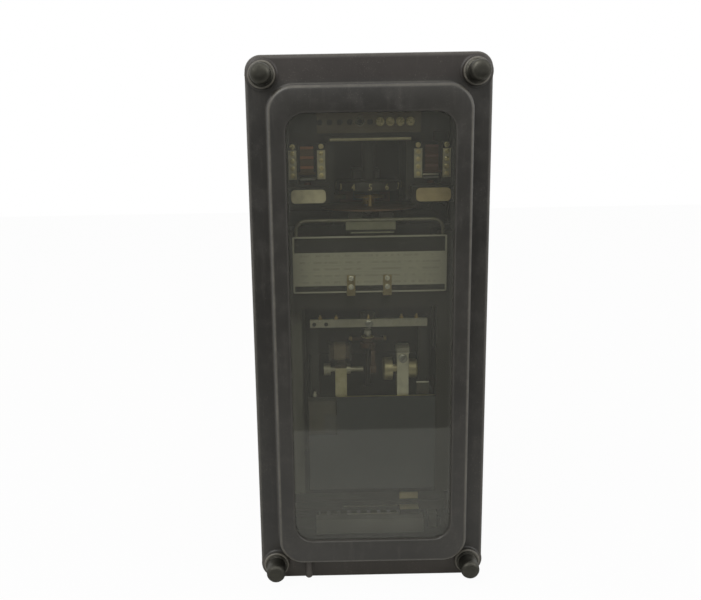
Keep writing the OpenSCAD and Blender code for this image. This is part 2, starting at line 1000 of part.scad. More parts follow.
module time_dial() {
    color([0.1, 0.1, 0.1])
    turned_up([[post_r + run_gap, dial_z], [dial_r, dial_z], [dial_r, dial_z + dial_h - dial_bevel],
        [dial_r - dial_bevel, dial_z + dial_h], [post_r + run_gap, dial_z + dial_h]], unit_x, disk_y);
}

// Target units

// What is drawn at the right of the time unit's centre line, put at the given side
module at_side(s) {
    translate([unit_x, 0, 0])
        mirror([s < 0 ? 1 : 0, 0, 0])
            children();
}

module target_base(s) {
    at_side(s)
        difference() {
            union() {
                span([target_in, target_out], [0, target_d], [target_low, target_high]);
                span([target_in, target_out], [-foot_d, eps], [foot_low, foot_top]);
            }
            span([hollow_in, hollow_out], [base_wall, target_d - base_wall],
                [base_floor, target_high + eps]);
            span([hollow_in, hollow_out], [-eps, base_wall + eps],
                [foot_top + foot_sill, target_high + eps]);
            for (pin = [[armature_y, armature_z], [flag_y, flag_z]])
                rod_along_x([hollow_in - pin_bite - end_gap, hollow_out + pin_bite + end_gap], pin[0],
                    pin[1],
                    pivot_r + run_gap);
        }
}

module target_coil(s) {
    at_side(s)
        union() {
            rod_along_z(coil_mid, coil_y, [base_floor, base_floor + coil_h], coil_r);
            rod_along_z(coil_mid, coil_y, [base_floor, base_floor + pole_piece_h], pole_piece_r);
        }
}

module target_armature(s) {
    at_side(s)
        union() {
            rod_along_x([hollow_in - pin_bite, hollow_out + pin_bite], armature_y, armature_z, pivot_r);
            span([hollow_in + armature_side, hollow_out - armature_side], [armature_front, armature_y],
                [armature_z - armature_t / 2, armature_z + armature_t / 2]);
        }
}

module target_flag(s) {
    at_side(s)
        union() {
            rod_along_x([hollow_in - pin_bite, hollow_out + pin_bite], flag_y, flag_z, pivot_r);
            span([hollow_in + flag_side, hollow_out - flag_side],
                [flag_y - flag_t / 2, flag_y + flag_t / 2],
                [flag_z, flag_z + flag_h]);
        }
}

module seal_in_base() {
    color([0.13, 0.12, 0.11])
    target_base(-1);
}

module seal_in_coil() {
    color([0.45, 0.2, 0.12])
    target_coil(-1);
}

module seal_in_armature() {
    color([0.5, 0.5, 0.5])
    target_armature(-1);
}

module seal_in_target() {
    color([0.62, 0.3, 0.12])
    target_flag(-1);
}

module instant_base() {
    color([0.13, 0.12, 0.11])
    target_base(1);
}

module instant_coil() {
    color([0.45, 0.2, 0.12])
    target_coil(1);
}

module instant_armature() {
    color([0.5, 0.5, 0.5])
    target_armature(1);
}

module instant_target() {
    color([0.3, 0.14, 0.1])
    target_flag(1);
}

// Metal strips on the target units and on the lower inner block
module contact_strips() {
    color([0.72, 0.72, 0.68])
    union() {
        span(link_x, [link_face - strip_t, link_face], link_high);
        prism_along_x([[inner_front, link_low[1]], [inner_front, link_low[1] - strip_t],
            [link_front + strip_t, link_low[1] - strip_t], [link_front + strip_t, link_low[0]],
            [link_front, link_low[0]], [link_front, link_low[1]]], link_x);
    }
    for (s = [-1, 1])
        at_side(s)
            for (x = [hollow_in - strip_w - strip_gap, hollow_out + strip_gap])
                span([x, x + strip_w], [-strip_t, 0], [strip_low, strip_high]);
}

module label_plates() {
    color([0.85, 0.78, 0.6])
    for (s = [-1, 1])
        at_side(s)
            translate([label_x, 0, label_z])
                plate(label_w, label_h, label_r, [-foot_d - label_t, -foot_d]);
}

// Nameplate

module nameplate() {
    color([0.75, 0.75, 0.72])
    translate([0, 0, (plate_low + plate_top) / 2])
        plate(plate_w, plate_top - plate_low, plate_r, [-plate_out, plate_t - plate_out]);
}

// A wire bend of a quarter circle, in the plane of the nameplate
module wire_corner(r) {
    rotate([90, 0, 0])
        rotate_extrude(angle = 90)
            translate([r, 0])
                circle(bail_r, $fn = 24);
}

// Wire loop behind the nameplate, with feet on the cradle's front flanges
module nameplate_bail() {
    color([0.6, 0.6, 0.58])
    union() {
        rod_along_x([-bail_x + bail_corner, bail_x - bail_corner], bail_y, bail_top, bail_r);
        for (s = [-1, 1])
            mirror([s < 0 ? 1 : 0, 0, 0]) {
                rod_along_z(bail_x, bail_y, [bail_low, bail_top - bail_corner], bail_r);
                translate([bail_x - bail_corner, bail_y, bail_top - bail_corner])
                    wire_corner(bail_corner);
                rod_along_y(bail_x, [bail_y, lip_y], bail_low, bail_r);
                translate([bail_x, bail_y, bail_low])
                    sphere(bail_r, $fn = 24);
            }
    }
}

// Spring clips from the cradle's cross bar to the nameplate's lower edge
module nameplate_clips() {
    color([0.75, 0.62, 0.36])
    for (x = clip_xs)
        prism_along_x([[lip_y, clip_foot], [lip_y, bar_top + clip_t], [-plate_out, bar_top + clip_t],
            [-plate_out, clip_top], [-plate_out - clip_t, clip_top], [-plate_out - clip_t, bar_top],
            [lip_y - clip_t, bar_top], [lip_y - clip_t, clip_foot]], [x - clip_w / 2, x + clip_w / 2]);
}

// Cup unit

module cup_unit_frame() {
    color([0.15, 0.15, 0.16])
    difference() {
        union() {
            span([cup_left, cup_right], [cup_front, back_face],
                [cup_shelf_top - cup_shelf_t, cup_shelf_top]);
            span([cup_left, cup_right], [cup_front, back_face],
                [cup_floor_top - cup_floor_t, cup_floor_top]);
            span([cup_left, cup_right], [back_face - cup_shelf_t, back_face],
                [cup_floor_top - eps, cup_shelf_top]);
            for (x = [strap_left, strap_right - upright_w])
                span([x, x + upright_w], [upright_y, upright_y + upright_d],
                    [cup_shelf_top - eps, strap_top]);
            for (sx = [-1, 1])
                for (sy = [-1, 1])
                    rod_along_z(sx * (stator_x - stator_post_set), cup_y + sy * (stator_y - stator_post_set),
                        [stator_high, cup_shelf_top - cup_shelf_t + eps], stator_post_r);
        }
        rod_along_z(0, cup_y, [cup_shelf_top - cup_shelf_t - eps, cup_shelf_top + eps], shelf_hole_r);
    }
}

// Strap with the cup's upper bearing
module bearing_strap() {
    color([0.62, 0.63, 0.6])
    difference() {
        union() {
            span([strap_left, strap_right], [upright_y - strap_t, upright_y], [strap_low, strap_top]);
            span([-strap_tongue_w / 2, strap_tongue_w / 2], [upright_y - eps, cup_y],
                [strap_low, strap_top]);
            rod_along_z(0, cup_y, [strap_boss_low, strap_top], strap_boss_r);
        }
        rod_along_z(0, cup_y, [strap_boss_low - eps, strap_bore_top], pivot_r + run_gap);
        for (x = strap_holes)
            rod_along_y(x, [upright_y - strap_t - eps, upright_y - strap_t + strap_hole_d],
                (strap_low + strap_top) / 2, strap_hole_r);
    }
}

// Laminated ring with four diagonal poles
module stator_core() {
    color([0.34, 0.34, 0.36])
    translate([0, cup_y, stator_low])
        linear_extrude(stator_high - stator_low)
            difference() {
                union() {
                    difference() {
                        square([2 * stator_x, 2 * stator_y], center = true);
                        square([2 * (stator_x - limb_x), 2 * (stator_y - limb_y)], center = true);
                    }
                    for (a = [45 : 90 : 315])
                        rotate(a)
                            translate([bore_r - pole_lap, -pole_w / 2])
                                square([stator_y + pole_w / 3 - bore_r, pole_w]);
                }
                circle(bore_r);
            }
}

module stator_coils() {
    color([0.5, 0.2, 0.14])
    for (s = [-1, 1])
        mirror([s < 0 ? 1 : 0, 0, 0])
            difference() {
                span([stator_x - limb_x - stator_coil_t, stator_x + stator_coil_t],
                    [cup_y - stator_coil_half, cup_y + stator_coil_half],
                    [stator_low - stator_coil_over, stator_high + stator_coil_over]);
                span([stator_x - limb_x, stator_x],
                    [cup_y - stator_coil_half - eps, cup_y + stator_coil_half + eps],
                    [stator_low, stator_high]);
            }
}

// Fixed core inside the cup, with the lower bearing in its foot
module inner_core() {
    color([0.4, 0.4, 0.42])
    turned_up([[0, cup_floor_top], [core_r, cup_floor_top], [core_r, stator_high],
        [core_bore_r, stator_high],
        [core_bore_r, cup_bearing_top], [pivot_r + run_gap, cup_bearing_top],
        [pivot_r + run_gap, cup_bearing_low], [0, cup_bearing_low]], 0, cup_y);
}

module unit_front_plate() {
    color([0.2, 0.22, 0.26])
    translate([0, cup_front, 0])
        rotate([90, 0, 0])
            linear_extrude(front_plate_t)
                polygon([[cup_left + plate_notch_w, cup_shelf_top], [cup_right, cup_shelf_top],
                    [cup_right, cup_floor_top - cup_floor_t], [cup_left, cup_floor_top - cup_floor_t],
                    [cup_left, cup_shelf_top - plate_notch_h],
                    [cup_left + plate_notch_w, cup_shelf_top - plate_notch_h]]);
}

module contact_post(x, top, hole_r) {
    difference() {
        span([x - post_w / 2, x + post_w / 2], [contact_y - post_d / 2, contact_y + post_d / 2],
            [cup_shelf_top, top]);
        rod_along_x([x - post_w / 2 - eps, x + post_w / 2 + eps], contact_y, contact_z, hole_r);
    }
}

// Post of the backstop screw, with a small spool on its neck
module backstop_post() {
    color([0.66, 0.64, 0.56])
    union() {
        contact_post(backstop_x, backstop_top, backstop_r);
        span([backstop_x - neck_w / 2, backstop_x + neck_w / 2],
            [contact_y - neck_w / 2, contact_y + neck_w / 2],
            [backstop_top - eps, backstop_top + neck_h + eps]);
        translate([spool_x[0], contact_y, backstop_top + neck_h + spool_h / 2])
            rotate([90, 0, 90])
                linear_extrude(spool_x[1] - spool_x[0])
                    round_rect(spool_d, spool_h, spool_r);
    }
}

// Adjusting screw with its knob and lock nut
module backstop_screw() {
    color([0.6, 0.6, 0.56])
    turned_right([[0, knob_x[0]], [knob_r, knob_x[0]], [knob_r, knob_x[1]], [backstop_r, knob_x[1]],
        [backstop_r, backstop_x + post_w / 2], [lock_r, backstop_x + post_w / 2],
        [lock_r, backstop_x + post_w / 2 + lock_t], [backstop_r, backstop_x + post_w / 2 + lock_t],
        [backstop_r, backstop_end], [0, backstop_end]], contact_y, contact_z);
}

// Post of the contact barrel with its cap, and the angle for the contact's lead beside it
module clamp_post() {
    color([0.7, 0.7, 0.66])
    union() {
        contact_post(clamp_x, clamp_top, barrel_shank_r);
        translate([0, contact_y, clamp_top])
            prism_along_x([[-post_d / 2 - cap_over, 0], [post_d / 2 + cap_over, 0],
                [post_d / 2 + cap_over, cap_h - cap_slope], [post_d / 2 - cap_slope, cap_h],
                [cap_slope - post_d / 2, cap_h], [-post_d / 2 - cap_over, cap_h - cap_slope]],
                [clamp_x - post_w / 2 - cap_over, clamp_x + post_w / 2 + cap_over]);
        translate([0, lead_front, cup_shelf_top])
            prism_along_x([[0, 0], [lead_d, 0], [lead_d, lead_t], [lead_t, lead_t], [lead_t, lead_h],
                [0, lead_h]],
                lead_x);
    }
}

// Stationary contact barrel with its knob
module contact_barrel() {
    color([0.66, 0.6, 0.48])
    turned_right([[0, barrel_x[0]], [barrel_r - barrel_bevel, barrel_x[0]],
        [barrel_r, barrel_x[0] + barrel_bevel],
        [barrel_r, barrel_x[1]], [barrel_shank_r, barrel_x[1]], [barrel_shank_r, clamp_x + post_w / 2],
        [barrel_knob_r, clamp_x + post_w / 2], [barrel_knob_r, barrel_knob_end - barrel_bevel],
        [barrel_knob_r - barrel_bevel, barrel_knob_end], [0, barrel_knob_end]], contact_y, contact_z);
}

module cup_rotor() {
    color([0.75, 0.75, 0.76])
    turned_up([[cup_shaft_r, cup_high - cup_top_t], [cup_r - cup_wall, cup_high - cup_top_t],
        [cup_r - cup_wall, stator_low], [cup_r, stator_low], [cup_r, cup_high], [cup_neck_r, cup_high],
        [cup_neck_r, cup_high + cup_neck_h], [cup_shaft_r, cup_high + cup_neck_h]], 0, cup_y);
}

module cup_shaft() {
    color([0.75, 0.75, 0.75])
    turned_up([[0, cup_bearing_low + run_gap], [pivot_r, cup_bearing_low + run_gap],
        [pivot_r, cup_shoulder],
        [cup_shaft_r, cup_shoulder], [cup_shaft_r, cup_collar], [pivot_r, cup_collar], [pivot_r, cup_end],
        [0, cup_end]], 0, cup_y);
}

// Insulating hub with the cross-arm and the moving contact
module contact_arm() {
    color([0.45, 0.28, 0.18])
    difference() {
        union() {
            rod_along_z(0, cup_y, [hub_low, hub_high], hub_r);
            rod_along_z(0, cup_y, [hub_high - eps, cross_z[1]], hub_neck_r);
            span([-cross_half, cross_half], [cup_y - arm_t / 2, cup_y + arm_t / 2], cross_z);
            span(arm_x, [contact_y - arm_drop_d / 2, cup_y - arm_root], [hub_low, hub_low + arm_t]);
            span(arm_x, [contact_y - arm_drop_d / 2, contact_y + arm_drop_d / 2],
                [contact_z, hub_low + arm_t]);
            rod_along_x(tip_x, contact_y, contact_z, tip_r);
        }
        rod_along_z(0, cup_y, [hub_low - eps, cross_z[1] + eps], cup_shaft_r);
    }
}

// Cover

module cover_frame() {
    color([0.24, 0.23, 0.21])
    difference() {
        union() {
            difference() {
                union() {
                    moulded_slab(cover_w, cover_h, cover_r, skirt_back, skirt_front);
                    moulded_slab(raise_w, raise_h, raise_r, skirt_front + cover_wall, raise_front);
                }
                plate(cover_w - 2 * cover_wall, cover_h - 2 * cover_wall, cover_r - cover_wall,
                    [skirt_inner, skirt_back + eps]);
                plate(raise_in_w, raise_in_h, corner_r, [glass_front, skirt_inner + eps]);
                translate([0, 0, -window_drop])
                    plate(window_w, window_h, window_r, [raise_front - eps, glass_front + eps]);
            }
            for (p = nut_places)
                turned_front(concat([[0, boss_top], [0, skirt_inner], [boss_r + boss_flare, skirt_inner]],
                    hollow_arc(boss_r, skirt_front, boss_flare), round_arc(boss_r, boss_top, boss_round)),
                    p[0], p[1]);
            for (z = lug_zs)
                span([-raise_in_w / 2 - eps, lug_half - rod_x], [rod_y - lug_half, rod_y + lug_half],
                    [z - lug_t / 2, z + lug_t / 2]);
        }
        for (p = nut_places)
            rod_along_y(p[0], [boss_top - eps, skirt_inner + eps], p[1], shank_r + run_gap);
        rod_along_z(-rod_x, rod_y, [-lug_reach, lug_reach], rod_r + run_gap);
        rod_along_z(-button_x, rod_y, [-raise_h / 2 - eps, rod_stop_z], button_r + run_gap);
    }
}

module cover_glass() {
    color([0.75, 0.8, 0.8, 0.3])
    translate([0, 0, -window_drop])
        plate(glass_w, glass_h, window_r + glass_lap, [glass_front, glass_back]);
}

module gasket() {
    color([0.1, 0.1, 0.1])
    difference() {
        plate(flange_w, flange_h, cover_r - flange_gap, [skirt_back, flange_front]);
        plate(flange_w - 2 * gasket_w, flange_h - 2 * gasket_w, cover_r - flange_gap - gasket_w,
            [skirt_back - eps, flange_front + eps]);
    }
}

// Angle clips that hold the glass against the frame
module glass_clips() {
    color([0.6, 0.6, 0.58])
    for (s = [-1, 1])
        mirror([s < 0 ? 1 : 0, 0, 0])
            for (z = glass_clip_zs)
                union() {
                    span([glass_w / 2 - glass_clip_on, raise_in_w / 2],
                        [glass_back, glass_back + glass_clip_t],
                        [z - glass_clip_half, z + glass_clip_half]);
                    span([raise_in_w / 2 - glass_clip_t, raise_in_w / 2],
                        [glass_back, glass_back + glass_clip_d],
                        [z - glass_clip_half, z + glass_clip_half]);
                }
}

module cover_nut(i) {
    color([0.3, 0.29, 0.27])
    turned_front(concat([[stud_r + run_gap, shank_end], [shank_r, shank_end], [shank_r, boss_top - end_gap],
        [nut_collar_r, boss_top - end_gap], [nut_collar_r, boss_top - collar_t],
        [nut_head_r, boss_top - collar_t]],
        round_arc(nut_head_r, nut_end, nut_round),
        [[0, nut_end], [0, stud_end - stud_room], [stud_r + run_gap, stud_end - stud_room]]),
        nut_places[i][0], nut_places[i][1]);
}

module cover_nut_1() { cover_nut(0); }
module cover_nut_2() { cover_nut(1); }
module cover_nut_3() { cover_nut(2); }
module cover_nut_4() { cover_nut(3); }

// Push rod from the button under the frame to the targets
module reset_rod() {
    color([0.3, 0.3, 0.3])
    union() {
        turned_up([[0, button_end], [button_r - button_round, button_end],
            [button_r, button_end + button_round],
            [button_r, rod_stop_z], [rod_stop_r, rod_stop_z], [rod_stop_r, rod_stop_z + rod_stop_t],
            [rod_r, rod_stop_z + rod_stop_t], [rod_r, rod_bend_z], [0, rod_bend_z]], -button_x, rod_y);
        bent_rod([[-button_x, rod_y, rod_bend_z], [rod_bend_x, rod_y, rod_bend_z],
        [-rod_x, rod_y, rod_up_z],
            [-rod_x, rod_y, rod_top]], rod_r);
    }
}

case_shell();
cover_studs();
guide_pin();
outer_blocks();
terminal_studs();
terminal_nuts();
contact_fingers();
cradle_frame();
inner_blocks();
connecting_plugs();
plug_blades();
cradle_latches();
disk_unit_frame();
tap_block();
tap_screws();
u_magnet_core();
operating_coil();
drag_magnet();
dial_post();
stationary_contact();
induction_disk();
disk_shaft();
moving_contact();
control_spring();
time_dial();
seal_in_base();
seal_in_coil();
seal_in_armature();
seal_in_target();
instant_base();
instant_coil();
instant_armature();
instant_target();
contact_strips();
label_plates();
nameplate();
nameplate_bail();
nameplate_clips();
cup_unit_frame();
bearing_strap();
stator_core();
stator_coils();
inner_core();
unit_front_plate();
backstop_post();
backstop_screw();
clamp_post();
contact_barrel();
cup_rotor();
cup_shaft();
contact_arm();
cover_frame();
cover_glass();
gasket();
glass_clips();
cover_nut_1();
cover_nut_2();
cover_nut_3();
cover_nut_4();
reset_rod();
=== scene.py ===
import json
import math

import bpy
from mathutils import Matrix, Vector


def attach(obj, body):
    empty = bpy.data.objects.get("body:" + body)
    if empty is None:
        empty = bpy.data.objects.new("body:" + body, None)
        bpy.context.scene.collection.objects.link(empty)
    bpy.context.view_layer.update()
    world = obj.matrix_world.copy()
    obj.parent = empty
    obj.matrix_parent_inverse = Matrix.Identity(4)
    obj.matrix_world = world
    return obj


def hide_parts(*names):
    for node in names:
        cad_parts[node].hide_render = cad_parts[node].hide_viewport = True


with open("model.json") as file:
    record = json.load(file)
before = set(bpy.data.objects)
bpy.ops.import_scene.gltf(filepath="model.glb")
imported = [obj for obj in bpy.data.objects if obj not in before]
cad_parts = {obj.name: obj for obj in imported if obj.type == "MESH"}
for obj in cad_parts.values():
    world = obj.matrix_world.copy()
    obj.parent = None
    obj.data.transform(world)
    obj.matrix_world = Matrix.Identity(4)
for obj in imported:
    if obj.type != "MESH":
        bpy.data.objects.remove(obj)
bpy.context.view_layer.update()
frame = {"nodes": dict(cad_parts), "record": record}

MM = 0.001


# Materials

class Shade:
    """A socket in a material. Sums on it add Math nodes."""

    def __init__(self, tree, socket=None):
        self.tree = tree
        self.socket = socket

    def node(self, kind, settings=None, inputs=None, out=0):
        """Adds a node: its settings first, then the values or links of its sockets."""
        made = self.tree.nodes.new(kind)
        for name, value in (settings or {}).items():
            setattr(made, name, value)
        for name, value in (inputs or {}).items():
            if isinstance(value, Shade):
                self.tree.links.new(value.socket, made.inputs[name])
            else:
                made.inputs[name].default_value = value
        return Shade(self.tree, made.outputs[out])

    def maths(self, operation, *values):
        return self.node("ShaderNodeMath", {"operation": operation}, dict(enumerate(values)))

    def __add__(self, other):
        return self.maths("ADD", self, other)

    __radd__ = __add__

    def __sub__(self, other):
        return self.maths("SUBTRACT", self, other)

    def __rsub__(self, other):
        return self.maths("SUBTRACT", other, self)

    def __mul__(self, other):
        return self.maths("MULTIPLY", self, other)

    __rmul__ = __mul__

    def __truediv__(self, other):
        return self.maths("DIVIDE", self, other)

    def __gt__(self, other):
        return self.maths("GREATER_THAN", self, other)

    def __lt__(self, other):
        return self.maths("LESS_THAN", self, other)

    def __abs__(self):
        return self.maths("ABSOLUTE", self)

    def ease(self, low, high):
        """0 below low, 1 above high, and smooth between."""
        return self.node("ShaderNodeMapRange", {"interpolation_type": "SMOOTHSTEP"},
                         {"Value": self, "From Min": low, "From Max": high})

    def repeat(self, step):
        return self.maths("FLOORED_MODULO", self, step)

    def tint(self, low, high):
        """A colour from low to high by this value."""
        return self.node("ShaderNodeMix", {"data_type": "RGBA"}, {0: self, 6: low, 7: high}, 2)

    def axes(self):
        split = self.node("ShaderNodeSeparateXYZ", None, {0: self}).socket.node
        return [Shade(self.tree, out) for out in split.outputs]

    def stretched(self, x, y, z):
        return self.node("ShaderNodeMapping", None, {"Vector": self, "Scale": (x, y, z)})

    def noise(self, scale, detail=3.0, rough=0.55):
        return self.node("ShaderNodeTexNoise", None,
                         {"Vector": self, "Scale": scale, "Detail": detail, "Roughness": rough})

    def bump(self, strength, distance):
        return self.node("ShaderNodeBump", None,
                         {"Height": self, "Strength": strength, "Distance": distance})


def rgb(r, g, b):
    return (r, g, b, 1.0)


def new_finish(name, **constants):
    """A material with its shader's constants set, and the piece's own coordinates."""
    made = bpy.data.materials.new(name)
    made.use_nodes = True
    shader = made.node_tree.nodes["Principled BSDF"]
    for socket, value in constants.items():
        shader.inputs[socket.replace("_", " ")].default_value = value
    return made, shader, Shade(made.node_tree).node("ShaderNodeTexCoord", out="Object")


def feed(shader, **shades):
    for socket, shade in shades.items():
        shade.tree.links.new(shade.socket, shader.inputs[socket.replace("_", " ")])


DUST = rgb(0.3, 0.28, 0.25)


def moulding(name, dark, pale, rough, grain=900.0, dust=0.0):
    """A moulded compound: cloudy colour, a fine skin and settled dust."""
    made, shader, spot = new_finish(name, IOR=1.5)
    clouds = spot.noise(28.0, 4.0).ease(0.3, 0.72)
    skin = spot.noise(grain, 2.0)
    specks = spot.noise(1500.0, 1.0).ease(0.66, 0.76) * spot.noise(60.0, 2.0).ease(0.4, 0.7)
    rubbed = spot.noise(90.0, 5.0, 0.7).ease(0.42, 0.68)
    colour = clouds.tint(dark, pale)
    feed(shader,
         Base_Color=(specks * dust).tint(colour, DUST),
         Roughness=rough + rubbed * 0.1 + specks * 0.25 * dust,
         Normal=(skin + clouds * 0.5).bump(0.35, 0.00006))
    return made


def paint(name, colour, worn, rough, chips=0.2, part=None, other=None):
    """Stove enamel: an orange-peel skin, dull patches and small chips. One part may have another colour."""
    made, shader, spot = new_finish(name, IOR=1.5)
    peel = spot.noise(700.0, 2.0)
    patches = spot.noise(22.0, 4.0).ease(0.35, 0.7)
    chipped = spot.noise(260.0, 4.0, 0.7).ease(0.68, 0.72)
    chipped = chipped * spot.noise(18.0, 2.0).ease(0.45, 0.6) * chips
    toned = patches.tint(colour, tuple(c * 0.86 for c in colour[:3]) + (1.0,))
    if part:
        toned = part(*spot.axes()).tint(toned, other)
    feed(shader,
         Base_Color=chipped.tint(toned, worn),
         Roughness=rough + patches * 0.08 - chipped * 0.1,
         Normal=(peel * 0.6 - chipped).bump(0.16, 0.00006))
    return made


def metal(name, bright, dull, rough, drawn=(1.0, 1.0, 1.0), tarnish=0.5, shine=1.0, part=None, other=None):
    """A metal: drawn marks one way and patches of tarnish. One part may have another colour."""
    made, shader, spot = new_finish(name)
    marks = spot.stretched(*drawn).noise(500.0, 3.0, 0.65)
    stain = spot.noise(130.0, 5.0, 0.65).ease(0.38, 0.7) * tarnish
    colour = stain.tint(bright, dull)
    if part:
        colour = part(*spot.axes()).tint(colour, other)
    feed(shader,
         Base_Color=colour,
         Metallic=shine - stain * 0.35 * shine,
         Roughness=rough + marks * 0.16 + stain * 0.22,
         Normal=marks.bump(0.18, 0.00004))
    return made


# Cover's sizes in millimetres

COVER = (168.3, 385.0, 10.8)      # width, height and corner of the skirt
RAISE = (138.3, 344.0, 17.5)      # of the raised frame
WINDOW = (113.7, 307.6, 13.0)     # of the opening
WINDOW_Z = -0.3
SKIRT_BACK, SKIRT_FRONT, RAISE_FRONT = -4.0, -24.0, -41.3
WALL = 3.0
NUT_X, NUT_Z = 72.45, 179.4
NUTS = [(-NUT_X, NUT_Z), (NUT_X, NUT_Z), (-NUT_X, -NUT_Z), (NUT_X, -NUT_Z)]


# Finishes

def off_outline(x, z, outline):
    """How far a place lies outside a rectangle with round corners, in millimetres."""
    width, height, corner = outline
    sides = [abs(x) / MM - (width / 2 - corner), abs(z) / MM - (height / 2 - corner)]
    across, along = (side.maths("MAXIMUM", side, 0.0) for side in sides)
    square = across * across + along * along
    return square.maths("SQRT", square) - corner


def cover_moulding():
    """Brown-black compound with rubbed patches and pale dust, with painted highlights along its edges and on
    the bosses' rims about the nuts, painted shade along its top and painted light along its foot.
    """
    made, shader, spot = new_finish("cover_moulding", IOR=1.5)
    x, y, z = spot.axes()
    across, along = abs(x) / MM - NUT_X, abs(z) / MM - NUT_Z
    square = across * across + along * along
    reach = square.maths("SQRT", square)
    boss_top = y / MM < SKIRT_FRONT - 2.9
    # Painted highlight: a pale ring on each boss's rim about its nut.
    rim = reach.ease(7.9, 8.4) * (1.0 - reach.ease(9.2, 9.7)) * boss_top
    raise_edge, window_edge, skirt_edge = (off_outline(x, z, of) for of in (RAISE, WINDOW, COVER))
    # Painted highlights: pale bands where the raised frame's front edge and foot, the opening's lip and the
    # skirt's shoulder catch the light.
    front = y / MM < RAISE_FRONT + 3.6
    crest_highlight = raise_edge.ease(-2.7, -1.6) * (1.0 - raise_edge.ease(-1.0, -0.2)) * front
    low = y / MM > SKIRT_FRONT - 3.0
    root = raise_edge.ease(-0.2, 0.5) * (1.0 - raise_edge.ease(1.2, 2.2)) * low
    lip_highlight = window_edge.ease(-0.6, 0.1) * (1.0 - window_edge.ease(0.9, 1.9)) * front
    shoulder_highlight = skirt_edge.ease(-2.4, -1.4) * (y / MM < SKIRT_FRONT + 2.6)
    edges = crest_highlight * 0.55 + lip_highlight * 0.08 + root * 0.22 + shoulder_highlight * 0.3
    # worn gathers these painted highlights, broken up in patches, and brings in the pale highlight colour
    # below.
    worn = (rim + edges) * (0.5 + spot.noise(110.0, 4.0, 0.7).ease(0.35, 0.7) * 0.5)
    clouds = spot.noise(16.0, 4.0, 0.6).ease(0.3, 0.7)
    skin = spot.noise(650.0, 3.0, 0.6)
    rubbed = spot.noise(70.0, 5.0, 0.7).ease(0.45, 0.75)
    dust = spot.noise(1400.0, 1.0).ease(0.67, 0.74) * spot.noise(35.0, 3.0).ease(0.35, 0.7)
    runs = spot.stretched(1.0, 1.0, 0.12).noise(220.0, 3.0, 0.6).ease(0.55, 0.8)
    base = clouds.tint(rgb(0.036, 0.034, 0.030), rgb(0.050, 0.047, 0.041))
    smeared = (runs * 0.35 + rubbed * 0.3).tint(base, rgb(0.085, 0.078, 0.068))
    # Painted shade on the top band and painted light on the foot band, for how the lamps from above fall on
    # them.
    head = ((z / MM).ease(172.0, 178.0) * 0.4).tint(smeared, rgb(0.036, 0.024, 0.019))
    foot = ((1.0 - (z / MM).ease(-178.0, -172.0)) * 0.45).tint(head, rgb(0.085, 0.070, 0.056))
    dusted = (dust * 0.5).tint(foot, rgb(0.22, 0.2, 0.17))
    feed(shader,
         Base_Color=worn.tint(dusted, rgb(0.2, 0.185, 0.15)),
         Roughness=0.4 + rubbed * 0.14 + dust * 0.2 - worn * 0.1,
         Normal=(skin + clouds * 0.6).bump(0.3, 0.00007))
    return made


def window_glass():
    """Clear sheet glass with a thin film of dust; the film is made thicker along the edge as painted light
    against the frame's shadow, and towards the foot as a painted reflection of the floor.
    """
    made, shader, spot = new_finish("window_glass")
    film = spot.noise(14.0, 4.0).ease(0.3, 0.75)
    x, y, z = spot.axes()
    # Painted light: the veil is thicker and so paler along the edge, lifting the shadow that the frame casts on
    # the glass.
    edge_veil_painted_light = off_outline(x, z, WINDOW).ease(-3.6, -0.4)
    # Painted reflection: the veil is thicker and so paler towards the foot, where the floor shows in the glass.
    settled = 1.0 - (z / MM).ease(-142.0, -98.0)
    dust = film * 0.02 + edge_veil_painted_light * 0.05 + settled * 0.02 + 0.055
    plain = Shade(made.node_tree)
    clear = plain.node("ShaderNodeBsdfTransparent", None, {"Color": rgb(0.945, 0.945, 0.885)})
    dusty = plain.node("ShaderNodeBsdfDiffuse", None, {"Color": rgb(0.60, 0.595, 0.535)})
    shine = plain.node("ShaderNodeBsdfGlossy", None, {"Color": rgb(1.0, 1.0, 0.98), "Roughness": 0.02})
    veil = plain.node("ShaderNodeMixShader", None, {0: dust, 1: clear, 2: dusty})
    edge = plain.node("ShaderNodeFresnel", None, {"IOR": 1.34})
    both = plain.node("ShaderNodeMixShader", None, {0: edge, 1: veil, 2: shine})
    made.node_tree.nodes.remove(shader)
    output = made.node_tree.nodes["Material Output"]
    made.node_tree.links.new(both.socket, output.inputs["Surface"])
    return made


def nameplate_metal():
    """Etched plate: a bare border, dark bands above and below, and faint ruled rows between."""
    made, shader, spot = new_finish("nameplate_metal", IOR=1.5)
    x, y, z = (axis / MM for axis in spot.axes())
    band = ((z > 57.5) + (z < 33.6)).ease(0.4, 0.6)
    bare = ((abs(x) > 53.5) + (z > 67.9) + (z < 29.6)).ease(0.4, 0.6)
    row = (z - 34.0).repeat(4.75)
    broken = spot.stretched(1.0, 0.0, 0.25).noise(230.0, 2.0).ease(0.46, 0.52)
    marks = (row > 1.4) * (row < 2.9) * broken * (abs(x) < 50.0)
    ruled = (row < 0.25) * (abs(x) < 51.5)
    inked = band + (marks * 0.2 + ruled * 0.15) * (1.0 - band)
    printed = inked * (1.0 - bare)
    wear = spot.noise(260.0, 4.0, 0.7).ease(0.62, 0.7)
    grain = spot.stretched(0.05, 1.0, 1.0).noise(900.0, 2.0)
    paper = spot.noise(60.0, 3.0).tint(rgb(0.50, 0.49, 0.425), rgb(0.61, 0.60, 0.52))
    feed(shader,
         Base_Color=(printed * (1.0 - wear * 0.35)).tint(paper, rgb(0.018, 0.017, 0.016)),
         Metallic=(1.0 - printed) * 0.2,
         Roughness=0.42 + grain * 0.12 + printed * 0.1,
         Normal=(grain * 0.3 - printed).bump(0.25, 0.00008))
    return made


